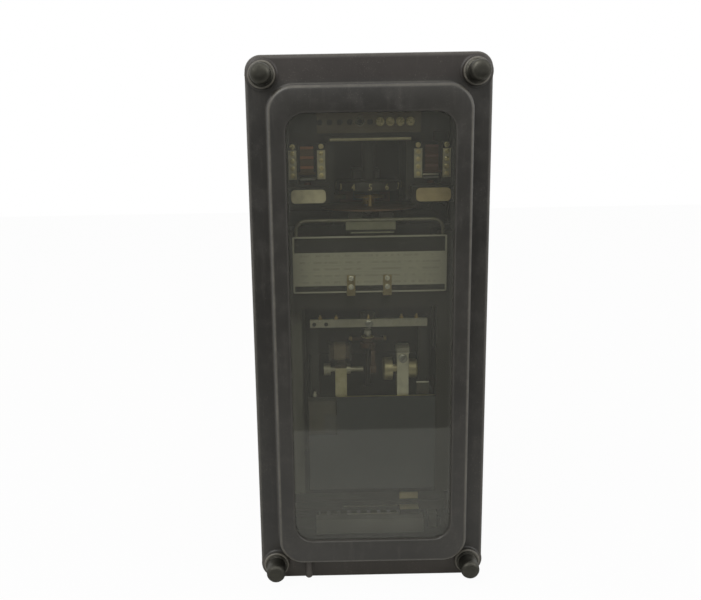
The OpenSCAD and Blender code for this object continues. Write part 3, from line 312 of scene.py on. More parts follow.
def laminations():
    """Stacked core sheets, varnished, with their edges showing as fine lines."""
    made, shader, spot = new_finish("laminations", Metallic=0.7)
    x, y, z = spot.axes()
    sheet = ((z + x) / MM).repeat(0.8)
    gap = sheet < 0.22
    rust = spot.noise(120.0, 4.0, 0.7).ease(0.5, 0.75)
    steel = spot.noise(300.0, 2.0).tint(rgb(0.11, 0.11, 0.12), rgb(0.17, 0.17, 0.17))
    lined = (gap * 0.7).tint(steel, rgb(0.02, 0.02, 0.02))
    feed(shader,
         Base_Color=(rust * 0.5).tint(lined, rgb(0.12, 0.07, 0.04)),
         Roughness=0.42 + gap * 0.2 + rust * 0.2,
         Normal=(1.0 - gap).bump(0.4, 0.0001))
    return made


def coil_wrap():
    """Wound wire under red-brown varnish, each turn shaded darker into the grooves between turns as painted
    shade.
    """
    made, shader, spot = new_finish("coil_wrap", IOR=1.5, Coat_Weight=0.4, Coat_Roughness=0.2)
    x, y, z = spot.axes()
    turn = ((z / MM).repeat(1.1) - 0.55) / 0.55
    crown = 1.0 - turn * turn
    patch = spot.noise(90.0, 4.0).ease(0.3, 0.7)
    varnish = patch.tint(rgb(0.17, 0.055, 0.035), rgb(0.26, 0.095, 0.06))
    feed(shader,
         # Painted shade: each turn darkens towards the grooves between turns.
         Base_Color=(crown * 0.75 + 0.25).tint(rgb(0.035, 0.015, 0.01), varnish),
         Roughness=0.45 + patch * 0.15,
         Normal=crown.bump(0.6, 0.0003))
    return made


def target_flag(name, ground, lit):
    """A dull flag with level bars of brighter colour."""
    made, shader, spot = new_finish(name, IOR=1.5)
    x, y, z = spot.axes()
    bar = (z / MM - 115.4).repeat(6.94) < 1.8
    faded = spot.noise(300.0, 3.0).ease(0.3, 0.7)
    feed(shader,
         Base_Color=bar.tint(ground, lit),
         Roughness=0.5 + faded * 0.15,
         Normal=(bar + faded * 0.3).bump(0.2, 0.0001))
    return made


def ivory_plate():
    """Celluloid labels, yellower at the right, darker in patches of age."""
    made, shader, spot = new_finish("ivory_plate", IOR=1.5, Coat_Weight=0.3, Coat_Roughness=0.15)
    x, y, z = spot.axes()
    side = x.ease(-0.005, 0.005)
    age = spot.noise(150.0, 4.0).ease(0.35, 0.75)
    plain = side.tint(rgb(0.86, 0.80, 0.60), rgb(0.66, 0.53, 0.30))
    feed(shader,
         Base_Color=(age * 0.45).tint(plain, rgb(0.30, 0.24, 0.15)),
         Roughness=0.38 + age * 0.15,
         Normal=age.bump(0.15, 0.00005))
    return made


FINISHES = {
    "cover_moulding": cover_moulding(),
    "glass": window_glass(),
    "case_paint": paint("case_paint", rgb(0.022, 0.022, 0.022), rgb(0.2, 0.19, 0.17), 0.42),
    "black_moulding": moulding("black_moulding", rgb(0.014, 0.013, 0.012), rgb(0.026, 0.023, 0.02), 0.4,
                               dust=0.5),
    "plug_moulding": moulding("plug_moulding", rgb(0.25, 0.248, 0.24), rgb(0.33, 0.327, 0.318), 0.45,
                              dust=0.5),
    "unit_frame": paint("unit_frame", rgb(0.028, 0.027, 0.026), rgb(0.22, 0.2, 0.17), 0.48),
    # Painted light: the left rail below the middle is a paler grey for its lit side, and the rest is a dark
    # grey for the shade inside the case.
    "cradle_grey": paint("cradle_grey", rgb(0.034, 0.029, 0.021), rgb(0.2, 0.18, 0.14), 0.5,
                         part=lambda x, y, z: (x < -0.049) * (1.0 - z.ease(-0.002, 0.014)),
                         other=rgb(0.19, 0.188, 0.165)),
    "blue_grey_paint": paint("blue_grey_paint", rgb(0.030, 0.035, 0.050), rgb(0.2, 0.2, 0.2), 0.4),
    "pale_metal": metal("pale_metal", rgb(0.76, 0.74, 0.65), rgb(0.45, 0.43, 0.36), 0.3, (0.08, 1.0, 1.0)),
    "disk_metal": metal("disk_metal", rgb(0.38, 0.26, 0.20), rgb(0.22, 0.14, 0.10), 0.36),
    "nameplate_metal": nameplate_metal(),
    "steel": metal("steel", rgb(0.58, 0.58, 0.57), rgb(0.33, 0.31, 0.28), 0.28, (1.0, 1.0, 0.1)),
    "nut_metal": metal("nut_metal", rgb(0.082, 0.079, 0.066), rgb(0.05, 0.048, 0.039), 0.36, tarnish=0.8),
    "laminations": laminations(),
    "brass": metal("brass", rgb(0.66, 0.50, 0.24), rgb(0.36, 0.25, 0.12), 0.3, tarnish=0.7),
    "coil_wrap": coil_wrap(),
    "fibre": moulding("fibre", rgb(0.16, 0.075, 0.035), rgb(0.24, 0.12, 0.055), 0.5, 400.0, 0.3),
    "target_orange": target_flag("target_orange", rgb(0.13, 0.07, 0.022), rgb(0.42, 0.16, 0.07)),
    "target_dark": target_flag("target_dark", rgb(0.09, 0.03, 0.012), rgb(0.16, 0.06, 0.04)),
    "ivory_plate": ivory_plate(),
    "rubber": moulding("rubber", rgb(0.012, 0.012, 0.012), rgb(0.02, 0.02, 0.019), 0.7),
}

PALE_BRASS = metal("pale_brass", rgb(0.66, 0.60, 0.41), rgb(0.42, 0.37, 0.23), 0.34)
DARK_BRASS = metal("dark_brass", rgb(0.10, 0.085, 0.055), rgb(0.05, 0.043, 0.03), 0.48)
DULL_BRASS = metal("dull_brass", rgb(0.17, 0.155, 0.12), rgb(0.10, 0.09, 0.07), 0.5, shine=0.3)
# Painted highlights: these near-white metals are half diffuse, so the pivot, screws, numerals and washer show
# pale as lit metal does.
BRIGHT_STEEL = metal("bright_steel", rgb(0.92, 0.90, 0.82), rgb(0.6, 0.57, 0.46), 0.16,
                     tarnish=0.25, shine=0.4)
BRIGHT_BRASS = metal("bright_brass", rgb(0.95, 0.84, 0.50), rgb(0.6, 0.48, 0.25), 0.18,
                     tarnish=0.35, shine=0.5)
TAP_BOARD = moulding("tap_board", rgb(0.13, 0.098, 0.062), rgb(0.18, 0.142, 0.095), 0.5, 400.0, 0.3)
COIL_BOARD = moulding("coil_board", rgb(0.085, 0.078, 0.068), rgb(0.11, 0.10, 0.088), 0.55, 300.0, 0.3)
DARK_CASTING = paint("dark_casting", rgb(0.045, 0.042, 0.036), rgb(0.2, 0.18, 0.15), 0.5)
MAGNET_FACE = metal("magnet_face", rgb(0.68, 0.68, 0.54), rgb(0.46, 0.46, 0.35), 0.36, shine=0.8)
DARK_WIRE = metal("dark_wire", rgb(0.36, 0.35, 0.29), rgb(0.2, 0.19, 0.155), 0.4)

# Nodes whose finish is a variant of their slot's
VARIANTS = {
    # Painted highlight: a pale, half-diffuse metal, and below the middle the links are a brighter gold for the
    # light they catch.
    "contact_strips": metal("strip_metal", rgb(0.78, 0.74, 0.58), rgb(0.45, 0.40, 0.27), 0.3,
                            tarnish=0.9, shine=0.5,
                            part=lambda x, y, z: z < -0.1, other=rgb(0.95, 0.84, 0.55)),
    "drag_magnet": DARK_CASTING,
    "bearing_strap": metal("strap_metal", rgb(0.80, 0.78, 0.68), rgb(0.48, 0.46, 0.38), 0.3,
                           drawn=(0.08, 1.0, 1.0), part=lambda x, y, z: (z < 0.0008) * (y < -0.0095),
                           other=rgb(0.06, 0.056, 0.046)),
    "clamp_post": metal("clamp_metal", rgb(0.86, 0.84, 0.72), rgb(0.5, 0.48, 0.4), 0.3, shine=0.8,
                        part=lambda x, y, z: (x > 0.0336) + (z > -0.0178) * (x < 0.0336) * 0.55,
                        other=rgb(0.09, 0.086, 0.073)),
    "backstop_screw": metal("screw_metal", rgb(0.52, 0.50, 0.41), rgb(0.34, 0.32, 0.25), 0.34),
    "cup_shaft": metal("shaft_steel", rgb(0.58, 0.58, 0.55), rgb(0.33, 0.31, 0.28), 0.28,
                       part=lambda x, y, z: z < -0.0135, other=rgb(0.05, 0.048, 0.042)),
    "contact_arm": moulding("arm_fibre", rgb(0.075, 0.038, 0.022), rgb(0.11, 0.058, 0.034), 0.5,
                            grain=400.0, dust=0.3),
    "nameplate_clips": metal("clip_brass", rgb(0.60, 0.50, 0.30), rgb(0.34, 0.26, 0.14), 0.34,
                             part=lambda x, y, z: 1.0 - z.ease(0.0262, 0.0266),
                             other=rgb(0.05, 0.045, 0.035)),
    "stationary_contact": DARK_BRASS,
    "plug_blades": DULL_BRASS,
    "contact_fingers": DULL_BRASS,
    "nameplate_bail": DARK_WIRE,
    "backstop_post": metal("post_brass", rgb(0.68, 0.63, 0.43), rgb(0.42, 0.38, 0.24), 0.34, shine=0.8,
                           part=lambda x, y, z: z.ease(-0.0292, -0.0288), other=rgb(0.075, 0.058, 0.043)),
    "contact_barrel": PALE_BRASS,
    "stator_coils": COIL_BOARD,
    "inner_blocks": moulding("block_moulding", rgb(0.03, 0.029, 0.026), rgb(0.046, 0.044, 0.04), 0.4,
                             dust=0.5),
    "reset_rod": moulding("rod_moulding", rgb(0.058, 0.05, 0.043), rgb(0.08, 0.07, 0.06), 0.45,
                          dust=0.3),
}


def coat(piece, slot, finish=None):
    """Gives a piece its finish: the one given, or else its slot's."""
    piece.data.materials.clear()
    piece.data.materials.append(finish or FINISHES[slot])


for part in frame["record"]["subparts"]:
    node = frame["nodes"][part["node"]]
    node.data.materials.clear()
    node.data.materials.append(VARIANTS.get(part["node"]) or FINISHES[part["material_slot"]])


# Hand tools

FRONT = Matrix.Rotation(math.pi / 2, 4, "X")   # a thing modelled lying flat stands up and looks forward


def put_down():
    """Leaves edit mode with nothing selected."""
    if bpy.context.object and bpy.context.object.mode != "OBJECT":
        bpy.ops.object.mode_set(mode="OBJECT")
    bpy.ops.object.select_all(action="DESELECT")


def take(piece):
    put_down()
    piece.select_set(True)
    bpy.context.view_layer.objects.active = piece


def start(name, add, sides=(1.0, 1.0, 1.0), **size):
    """A new piece from a primitive, with its size and place in its mesh."""
    put_down()
    add(**size)
    piece = bpy.context.object
    piece.name = name
    piece.scale = sides
    bpy.ops.object.transform_apply(location=True, rotation=True, scale=True)
    return piece


def open_up(piece, chosen="SELECT"):
    """Opens a piece for editing by its edges, with all or none of it selected."""
    take(piece)
    bpy.ops.object.mode_set(mode="EDIT")
    bpy.ops.mesh.select_mode(type="EDGE")
    bpy.ops.mesh.select_all(action=chosen)


def modify(piece, kind, **settings):
    take(piece)
    bpy.ops.object.modifier_add(type=kind)
    modifier = piece.modifiers[-1]
    for name, value in settings.items():
        setattr(modifier, name, value)
    bpy.ops.object.modifier_apply(modifier=modifier.name)


def clean(piece, angle=40.0):
    """Merges doubles, turns the faces outwards and smooths what is round."""
    open_up(piece)
    bpy.ops.mesh.remove_doubles(threshold=0.000004)
    bpy.ops.mesh.normals_make_consistent(inside=False)
    take(piece)
    bpy.ops.object.shade_smooth_by_angle(angle=math.radians(angle))
    return piece


def block(name, x, y, z, soft=0.3, steps=2):
    """A block between two corners in millimetres, with its edges eased."""
    middle = [(low + high) / 2 * MM for low, high in (x, y, z)]
    sides = [(high - low) * MM for low, high in (x, y, z)]
    piece = start(name, bpy.ops.mesh.primitive_cube_add, sides, size=1.0, location=middle)
    open_up(piece)
    bpy.ops.mesh.bevel(offset=soft * MM, segments=steps, profile=0.5)
    return clean(piece)


def ring(piece, make):
    """Adds a loop to a piece that is open for editing, and gives the places of its points in the mesh."""
    piece.update_from_editmode()
    before = len(piece.data.vertices)
    bpy.ops.mesh.select_all(action="DESELECT")
    make()
    piece.update_from_editmode()
    return set(range(before, len(piece.data.vertices)))


def round_frame(width, height, corner, y, z=0.0, steps=10):
    """Adds a standing loop of a rectangle with round corners, in millimetres."""
    middle = (0.0, y * MM, z * MM)
    bpy.ops.mesh.primitive_plane_add(size=1.0, location=middle, rotation=(math.pi / 2, 0.0, 0.0))
    bpy.ops.transform.resize(value=(width * MM, 1.0, height * MM), center_override=middle)
    bpy.ops.mesh.bevel(offset=corner * MM, offset_type="OFFSET", segments=steps, profile=0.5,
                       affect="VERTICES")
    bpy.ops.mesh.delete(type="ONLY_FACE")


def circle(radius, along, steps):
    """Adds a loop about Z, in millimetres."""
    place = (0.0, 0.0, along * MM)
    bpy.ops.mesh.primitive_circle_add(vertices=steps, radius=radius * MM, location=place)


def select_loops(piece, *loops):
    """Opens a piece for editing with the edges of some loops selected."""
    open_up(piece, "DESELECT")
    bpy.ops.object.mode_set(mode="OBJECT")
    for edge in piece.data.edges:
        edge.select = any(set(edge.vertices) <= loop for loop in loops)
    bpy.ops.object.mode_set(mode="EDIT")


def bridged(name, makers, ends=(False, False)):
    """Bridges loops one after another into a skin."""
    put_down()
    bpy.ops.mesh.primitive_plane_add(size=0.001)
    piece = bpy.context.object
    piece.name = name
    bpy.ops.object.mode_set(mode="EDIT")
    bpy.ops.mesh.select_all(action="SELECT")
    bpy.ops.mesh.delete(type="VERT")
    bpy.ops.mesh.select_mode(type="EDGE")
    loops = [ring(piece, make) for make in makers]
    for first, second in zip(loops, loops[1:]):
        select_loops(piece, first, second)
        bpy.ops.mesh.bridge_edge_loops()
    for closed, loop in zip(ends, (loops[0], loops[-1])):
        if closed:
            select_loops(piece, loop)
            bpy.ops.mesh.edge_face_add()
    put_down()
    return piece


def turned(name, profile, steps=32):
    """A turned piece about Z, from radius and height pairs in millimetres. Its ends are closed."""
    makers = [lambda r=r, h=h: circle(r, h, steps) for r, h in profile]
    return clean(bridged(name, makers, (True, True)), 35.0)


def move(piece, matrix):
    piece.data.transform(matrix)
    piece.data.update()
    return piece


def at(x, y, z):
    return Matrix.Translation((x * MM, y * MM, z * MM))


def copies(name, model, places):
    """Copies of a model, each with its own mesh, joined into one piece."""
    made = []
    for place in places:
        copy = model.copy()
        copy.data = model.data.copy()
        bpy.context.collection.objects.link(copy)
        made.append(move(copy, place))
    return joined(name, made)


def joined(name, pieces):
    take(pieces[0])
    for piece in pieces:
        piece.select_set(True)
    bpy.ops.object.join()
    pieces[0].name = name
    pieces[0].data.name = name
    return pieces[0]


def discard(*pieces):
    for piece in pieces:
        bpy.data.objects.remove(piece, do_unlink=True)


def fit(piece, slot, body, *stands_for, finish=None):
    """Finishes a piece, seats it on its body, and hides the nodes that it stands for."""
    coat(piece, slot, finish)
    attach(piece, body)
    if stands_for:
        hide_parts(*stands_for)
    return piece


# Cover

FALL = 0.03                       # slight fall of the flat faces towards their outer edge
EDGE, FOOT, LIP = 3.2, 2.0, 1.6   # rounding of the front edges, of the raised frame's foot and of the opening
RIM = 0.6                         # bevel of the skirt's rim


def grown(outline, more):
    """An outline set out by a distance, or in by a negative one."""
    width, height, corner = outline
    return width + 2 * more, height + 2 * more, corner + more


def quarter(steps):
    return [math.pi / 2 * i / steps for i in range(1, steps + 1)]


def rounded_edge(outline, front, fall=0.0):
    """Outlines with their depth, from a side wall over its front edge."""
    return [(outline, front + EDGE)] + [
        (grown(outline, EDGE * (math.cos(a) - 1.0)), front + fall + EDGE * (1.0 - math.sin(a)))
        for a in quarter(5)]


def cover_loops():
    """The cover's section as outlines with their depth and height: out over the skirt and the raised frame,
    round the opening, and back inside."""
    flat = SKIRT_FRONT - FALL
    outside = [(grown(COVER, -WALL), SKIRT_BACK), (grown(COVER, -RIM), SKIRT_BACK), (COVER, SKIRT_BACK - RIM)]
    outside += rounded_edge(COVER, SKIRT_FRONT)
    outside.append((grown(RAISE, FOOT), flat))
    outside += [(grown(RAISE, FOOT * (1.0 - math.sin(a))), flat - FOOT * (1.0 - math.cos(a)))
                for a in quarter(5)]
    outside += rounded_edge(RAISE, RAISE_FRONT, FALL)
    opening = [(grown(WINDOW, LIP), RAISE_FRONT)]
    opening += [(grown(WINDOW, LIP * (1.0 - math.sin(a))), RAISE_FRONT + LIP * (1.0 - math.cos(a)))
                for a in quarter(4)]
    opening.append((WINDOW, RAISE_FRONT + WALL))
    inside = [(grown(RAISE, -WALL), RAISE_FRONT + WALL + FALL), (grown(RAISE, -WALL), SKIRT_FRONT + WALL),
              (grown(COVER, -WALL), SKIRT_FRONT + WALL + FALL), (grown(COVER, -WALL), SKIRT_BACK)]
    groups = ((outside, 0.0), (opening, WINDOW_Z), (inside, 0.0))
    return [(outline, y, z) for group, z in groups for outline, y in group]


def cover_shell():
    """The moulding, with a boss under each nut."""
    makers = [lambda o=outline, y=y, z=z: round_frame(*o, y, z) for outline, y, z in cover_loops()]
    shell = bridged("cover_shell", makers)
    boss = turned("boss", [(11.6, -1.0), (11.6, 0.0), (10.8, 0.15), (10.15, 0.6), (9.7, 1.2), (9.55, 2.0),
                           (9.5, 2.6), (9.4, 3.1), (9.1, 3.6), (8.6, 3.93), (8.1, 4.0), (7.2, 3.95)], 40)
    bosses = [at(x, SKIRT_FRONT, z) @ FRONT for x, z in NUTS]
    shell = joined("cover_shell", [clean(shell, 30.0), copies("bosses", boss, bosses)])
    discard(boss)
    return shell


def cover_nut():
    """A tall round nut: a thin collar, a waist and a domed head."""
    return turned("nut", [(5.0, -7.0), (5.0, 4.1), (7.9, 4.1), (8.15, 4.25), (8.2, 4.6), (8.15, 5.1),
                          (7.8, 5.4), (7.2, 5.5), (6.85, 5.8), (6.85, 6.4), (7.0, 7.0), (7.0, 16.4),
                          (6.85, 17.7), (6.3, 18.9), (5.3, 19.75), (4.0, 20.25), (2.4, 20.46), (1.0, 20.5),
                          (0.25, 20.5)], 40)


fit(cover_shell(), "cover_moulding", "cover", "cover_frame")
nut = cover_nut()
for number, (x, z) in enumerate(NUTS, 1):
    screwed = copies(f"round_nut_{number}", nut, [at(x, SKIRT_FRONT, z) @ FRONT])
    fit(screwed, "nut_metal", f"nut_{number}", f"cover_nut_{number}")
discard(nut)


# Small fasteners

def cut(piece, cutter):
    modify(piece, "BOOLEAN", object=cutter, operation="DIFFERENCE", solver="EXACT")
    discard(cutter)
    return clean(piece)


def slotted_screw():
    """A cheese-head screw of three millimetres' radius, with its slot across."""
    head = turned("screw", [(3.0, -0.6), (3.0, 1.25), (2.85, 1.65), (2.4, 1.9), (1.2, 2.0), (0.3, 2.0)], 28)
    return cut(head, block("slot", (-4.0, 4.0), (-0.45, 0.45), (1.0, 4.0), 0.05))


def facing(x, y, z, radius=3.0, turn=0.0):
    """A place for a thing of three millimetres' radius that looks forward."""
    spin = Matrix.Rotation(math.radians(turn), 4, "Z")
    return at(x, y, z) @ FRONT @ spin @ Matrix.Scale(radius / 3.0, 4)


screw = slotted_screw()


# Time unit

UNIT_X, DISK_Y = 1.4, 16.0
TAP_FACE, TAP_Z = -4.5, 147.5
FIRST_TAP, TAP_STEP, TAPS = -34.0, 7.1, 10
tap_x = [FIRST_TAP + TAP_STEP * i for i in range(TAPS)]
drill = turned("drill", [(2.1, -2.0), (2.1, 2.0)], 24)
tap_face = block("tap_face", (-36.0, 37.5), (TAP_FACE, -4.0), (140.0, 154.5), 0.15)
tap_face = cut(tap_face, copies("drills", drill, [facing(x, TAP_FACE, TAP_Z) for x in tap_x]))
discard(drill)
fit(tap_face, "fibre", "case", finish=TAP_BOARD)
taps = [facing(x, TAP_FACE, TAP_Z, 3.1, turn) for x, turn in zip(tap_x[6:], (90.0, 20.0, 65.0, 140.0))]
fit(copies("tap_heads", screw, taps), "brass", "case", "tap_screws", finish=BRIGHT_BRASS)

eyelet = clean(bridged("eyelet", [lambda r=r, h=h: circle(r, h, 28) for r, h in (
    (2.15, -1.0), (2.15, 0.25), (2.35, 0.5), (2.75, 0.55), (3.1, 0.4), (3.2, 0.0))]))
fit(copies("tap_eyelets", eyelet, [facing(tap_x[4], TAP_FACE, TAP_Z)]), "pale_metal", "case")
discard(eyelet)

TOP_HALF = 28.6
# Painted highlight: a pale strip along the top plate's front edge, where it catches the light.
top_edge = block("top_edge", (UNIT_X - TOP_HALF, UNIT_X + TOP_HALF), (-10.4, -10.0), (134.6, 136.4), 0.15)
fit(top_edge, "brass", "case", finish=PALE_BRASS)

STRIP_X = (-53.75, -33.25, 36.05, 56.55)
STRIP_FACE, POST_Z, STRIP_SCREW_Z = -1.5, 131.0, (110.6, 115.8, 121.0, 126.2)
posts = [facing(x, 0.0, POST_Z, 1.9, 35.0 + x) for x in STRIP_X]
fit(copies("strip_posts", screw, posts), "brass", "case", finish=BRIGHT_BRASS)
heads = [facing(x, STRIP_FACE, z, 1.7, 70.0 - x + 9.0 * z) for x in STRIP_X for z in STRIP_SCREW_Z]
fit(copies("strip_screws", screw, heads), "brass", "case", finish=BRIGHT_BRASS)
fit(block("flag_ledge", (39.5, 51.0), (-0.9, 0.4), (109.5, 110.6), 0.2), "pale_metal", "case")


CAPITAL = 0.7                     # a numeral's height as a share of the letter size
DIAL_R, NUMERAL_H, NUMERAL_Z = 24.0, 4.4, 102.2


def numeral(text, height):
    """A raised numeral that stands at the origin and looks forward."""
    put_down()
    bpy.ops.object.text_add()
    letters = bpy.context.object
    letters.data.body = text
    letters.data.size = height * MM / CAPITAL
    letters.data.extrude = 0.12 * MM
    letters.data.resolution_u = 3
    letters.data.align_x = "CENTER"
    bpy.ops.object.convert(target="MESH")
    letters = clean(bpy.context.object)
    return move(letters, at(0.0, 0.0, -height / 2) @ FRONT)


def dial_numerals():
    """Plain numbers round the dial's rim, from nought to ten."""
    made = []
    for step in range(11):
        turn = Matrix.Rotation(math.radians(step * 30.0 - 150.0), 4, "Z")
        place = at(UNIT_X, DISK_Y, NUMERAL_Z) @ turn @ at(0.0, -DIAL_R - 0.02, 0.0)
        made.append(move(numeral(str(step), NUMERAL_H), place))
    return joined("dial_numerals", made)


dial = turned("dial", [(5.2, 99.0), (23.6, 99.0), (DIAL_R, 99.4), (DIAL_R, 105.0), (23.7, 105.6), (23.0, 105.9),
                       (22.0, 106.0), (21.0, 105.4), (7.5, 105.4), (6.8, 106.0), (5.2, 106.0)], 72)
fit(move(dial, at(UNIT_X, DISK_Y, 0.0)), "black_moulding", "dial", "time_dial")
fit(dial_numerals(), "brass", "dial", finish=BRIGHT_BRASS)


def round_plate(name, outline, x, y, z, ease=0.25):
    """A thin upright plate with round corners and an eased front edge. Its y is the front and the back."""
    front, back = y
    width, height, corner = outline
    small = (width - 2 * ease, height - 2 * ease, corner - ease)
    loops = [(small, front), (outline, front + ease), (outline, back)]
    makers = [lambda o=o, d=d: round_frame(*o, d) for o, d in loops]
    return move(clean(bridged(name, makers, (True, True))), at(x, 0.0, z))


LABEL, LABEL_X, LABEL_Y, LABEL_Z = (24.6, 9.5, 3.0), (-42.7, 45.5), (-15.0, -13.5), 96.8
labels = [round_plate("label", LABEL, x, LABEL_Y, LABEL_Z) for x in LABEL_X]
fit(joined("label_pair", labels), "ivory_plate", "case", "label_plates")


MAGNET_X = (UNIT_X - 18.0, UNIT_X + 17.6)
magnet_face = joined("magnet_face", [
    block("face", MAGNET_X, (-12.5, -11.0), (72.4, 78.0), 0.3),
    block("upper", MAGNET_X, (-12.5, -11.6), (77.5, 80.6), 0.3),
    block("foot", (UNIT_X - 14.5, UNIT_X + 16.5), (-12.3, -11.2), (70.0, 70.8), 0.15)])
fit(magnet_face, "pale_metal", "case", finish=MAGNET_FACE)


# Nameplate

CLIP_FACE, CLIP_SCREW_Z = -21.0, (39.0, 32.8)
clip_turns = ((-13.5, 15.0), (12.4, 60.0))
clip_heads = [facing(x, CLIP_FACE, z, 1.9, turn) for x, turn in clip_turns for z in CLIP_SCREW_Z]
fit(copies("clip_screws", screw, clip_heads), "steel", "case", finish=BRIGHT_STEEL)


# Cup unit

CUP_Y, CUP_FRONT, SHELF_Z = 14.0, -16.4, -50.5
STRAP_FACE, STRAP_Z, STRAP_TOP = -10.0, 3.2, 6.7
plug = turned("plug", [(1.5, -0.5), (1.5, 0.05), (1.25, 0.12), (0.3, 0.12)], 20)
plugs = [facing(x, STRAP_FACE, STRAP_Z) for x in (-40.5, -31.7)]
fit(copies("strap_plugs", plug, plugs), "black_moulding", "case")
discard(plug)
fit(copies("strap_screw", screw, [facing(-0.2, STRAP_FACE, STRAP_Z, 2.8, 35.0)]), "steel", "case")
fit(copies("clamp_screw", screw, [facing(24.2, -15.0, -22.2, 3.2, 48.0)]), "steel", "case")

tip = turned("tip", [(1.5, -0.5), (1.5, 1.4), (1.35, 1.7), (0.9, 1.9), (0.85, 2.9), (0.6, 3.2),
                     (0.2, 3.25)], 20)
tips = [at(x, -8.5, STRAP_TOP) for x in (-36.1, -24.3, -0.6, 23.6, 34.7)]
fit(copies("strap_tips", tip, tips), "brass", "case")
fit(copies("shelf_stud", tip, [at(-40.9, -13.5, SHELF_Z) @ Matrix.Scale(1.15, 4)]), "pale_metal", "case")
discard(tip)

SHAFT_R = 1.98
pivot = turned("pivot_collar", [(SHAFT_R, -11.2), (2.6, -11.1), (2.9, -10.6), (2.9, -8.9), (2.5, -8.2),
                                (SHAFT_R, -8.0)], 32)
fit(move(pivot, at(0.0, CUP_Y, 1.0)), "steel", "cup", finish=BRIGHT_STEEL)
washer = turned("hub_washer", [(SHAFT_R, -13.5), (5.0, -13.5), (5.15, -13.3), (5.15, -12.9), (4.9, -12.7),
                               (SHAFT_R, -12.7)], 32)
fit(move(washer, at(0.0, CUP_Y, 1.0)), "pale_metal", "cup", finish=BRIGHT_BRASS)
ferrule = turned("ferrule", [(1.7, 0.0), (2.0, 0.2), (2.0, 1.9), (1.6, 2.4), (0.3, 2.5)], 20)
ends = [at(side * 12.0, CUP_Y, -13.5) @ Matrix.Rotation(side * math.pi / 2, 4, "Y") for side in (1, -1)]
fit(copies("cross_ends", ferrule, ends), "brass", "cup")
discard(ferrule)

winding = block("spool_winding", (-29.0, -15.0), (-16.2, -3.8), (-23.1, -10.8), 4.0, 5)
fit(winding, "coil_wrap", "case", finish=TAP_BOARD)
cheeks = joined("spool_cheeks", [block("cheek", x, (-16.6, -3.4), (-23.0, -10.4), 0.5, 2)
                                 for x in ((-30.3, -29.0), (-15.0, -13.7))])
fit(cheeks, "cradle_grey", "case")

# Painted highlights: pale strips along the shelf's front edge and the lead's top edge, where they catch the
# light.
shelf_edge = block("shelf_edge", (-24.8, 47.6), (CUP_FRONT - 0.25, CUP_FRONT + 1.2),
                   (SHELF_Z - 0.5, SHELF_Z + 0.3), 0.12)
fit(shelf_edge, "brass", "case", finish=PALE_BRASS)
lead_edge = block("lead_edge", (34.4, 43.6), (CUP_FRONT + 2.2, CUP_FRONT + 3.2),
                  (SHELF_Z + 9.3, SHELF_Z + 10.1), 0.12)
fit(lead_edge, "steel", "case", finish=BRIGHT_STEEL)
coil_board = block("coil_board", (-45.8, -25.2), (CUP_FRONT + 1.8, CUP_FRONT + 3.8),
                   (SHELF_Z - 30.5, SHELF_Z - 3.1), 0.4)
fit(coil_board, "fibre", "case", finish=COIL_BOARD)


# Lower connection block

# Painted highlights: thin pale strips on the block's and the plug's edges, where they catch the light.
fit(block("block_line", (-20.0, 23.0), (11.6, 12.2), (-151.1, -150.4), 0.1), "pale_metal", "case")
fit(block("plug_ridge", (-17.0, 23.0), (7.3, 7.9), (-155.7, -154.9), 0.1), "pale_metal", "case")
# Painted shade: a black block over the links' front drop, put where there is only shade.
fit(block("link_drop_painted_shade", (24.3, 39.2), (3.5, 4.3), (-155.1, -150.5), 0.15), "black_moulding", "case")


# Rear terminals

REAR = Matrix.Rotation(-math.pi / 2, 4, "X")   # a thing modelled lying flat stands up and looks back
STUD_R, ROOT_R, PLAIN, TURNS = 3.1, 2.6, 24.0, 17
STUD_STEP, STUD_ROWS, STUD_Y = 22.0, (152.5, 169.5), 128.0


def threaded_stud():
    """A stud with a plain root, a thread and a chamfered end."""
    profile = [(STUD_R, 0.0), (STUD_R, PLAIN)]
    for i in range(TURNS):
        profile += [(STUD_R, PLAIN + 0.2 + i), (ROOT_R, PLAIN + 0.7 + i)]
    profile += [(STUD_R, 41.2), (2.5, 42.0), (0.3, 42.0)]
    return turned("stud", profile, 16)


stud = threaded_stud()
rows = [(x * STUD_STEP, side * row) for side in (-1, 1) for row in STUD_ROWS for x in (-2, -1, 0, 1, 2)]
studs = [at(x, STUD_Y, z) @ REAR for x, z in rows]
fit(copies("threaded_studs", stud, studs), "brass", "case", "terminal_studs")
discard(stud, screw)


# Stage

def stage_plane(name, width, depth, middle, shades):
    """A plane that isn't part of the relay, with its own material."""
    plane = start(name, bpy.ops.mesh.primitive_plane_add, (width, depth, 1.0), size=1.0, location=middle)
    made = bpy.data.materials.new(name)
    made.use_nodes = True
    shades(made)
    plane.data.materials.append(made)
    return plane


def pale_floor(made):
    """Near white to the camera, with the shadow kept."""
    start_shade = Shade(made.node_tree)
    made.node_tree.nodes.remove(made.node_tree.nodes["Principled BSDF"])
    ray = start_shade.node("ShaderNodeLightPath").socket.node
    seen = Shade(made.node_tree, ray.outputs["Is Camera Ray"]) * 0.965
    plain = start_shade.node("ShaderNodeBsdfDiffuse", None, {"Color": rgb(0.86, 0.86, 0.84)})
    white = start_shade.node("ShaderNodeEmission", None, {"Color": rgb(1.0, 1.0, 1.0), "Strength": 1.0})
    both = start_shade.node("ShaderNodeMixShader", None, {0: seen, 1: plain, 2: white})
    made.node_tree.links.new(both.socket, made.node_tree.nodes["Material Output"].inputs["Surface"])


def dark_card(made):
    """Dull black, for the window to reflect."""
    shader = made.node_tree.nodes["Principled BSDF"]
    shader.inputs["Base Color"].default_value = rgb(0.02, 0.02, 0.02)
    shader.inputs["Roughness"].default_value = 0.9


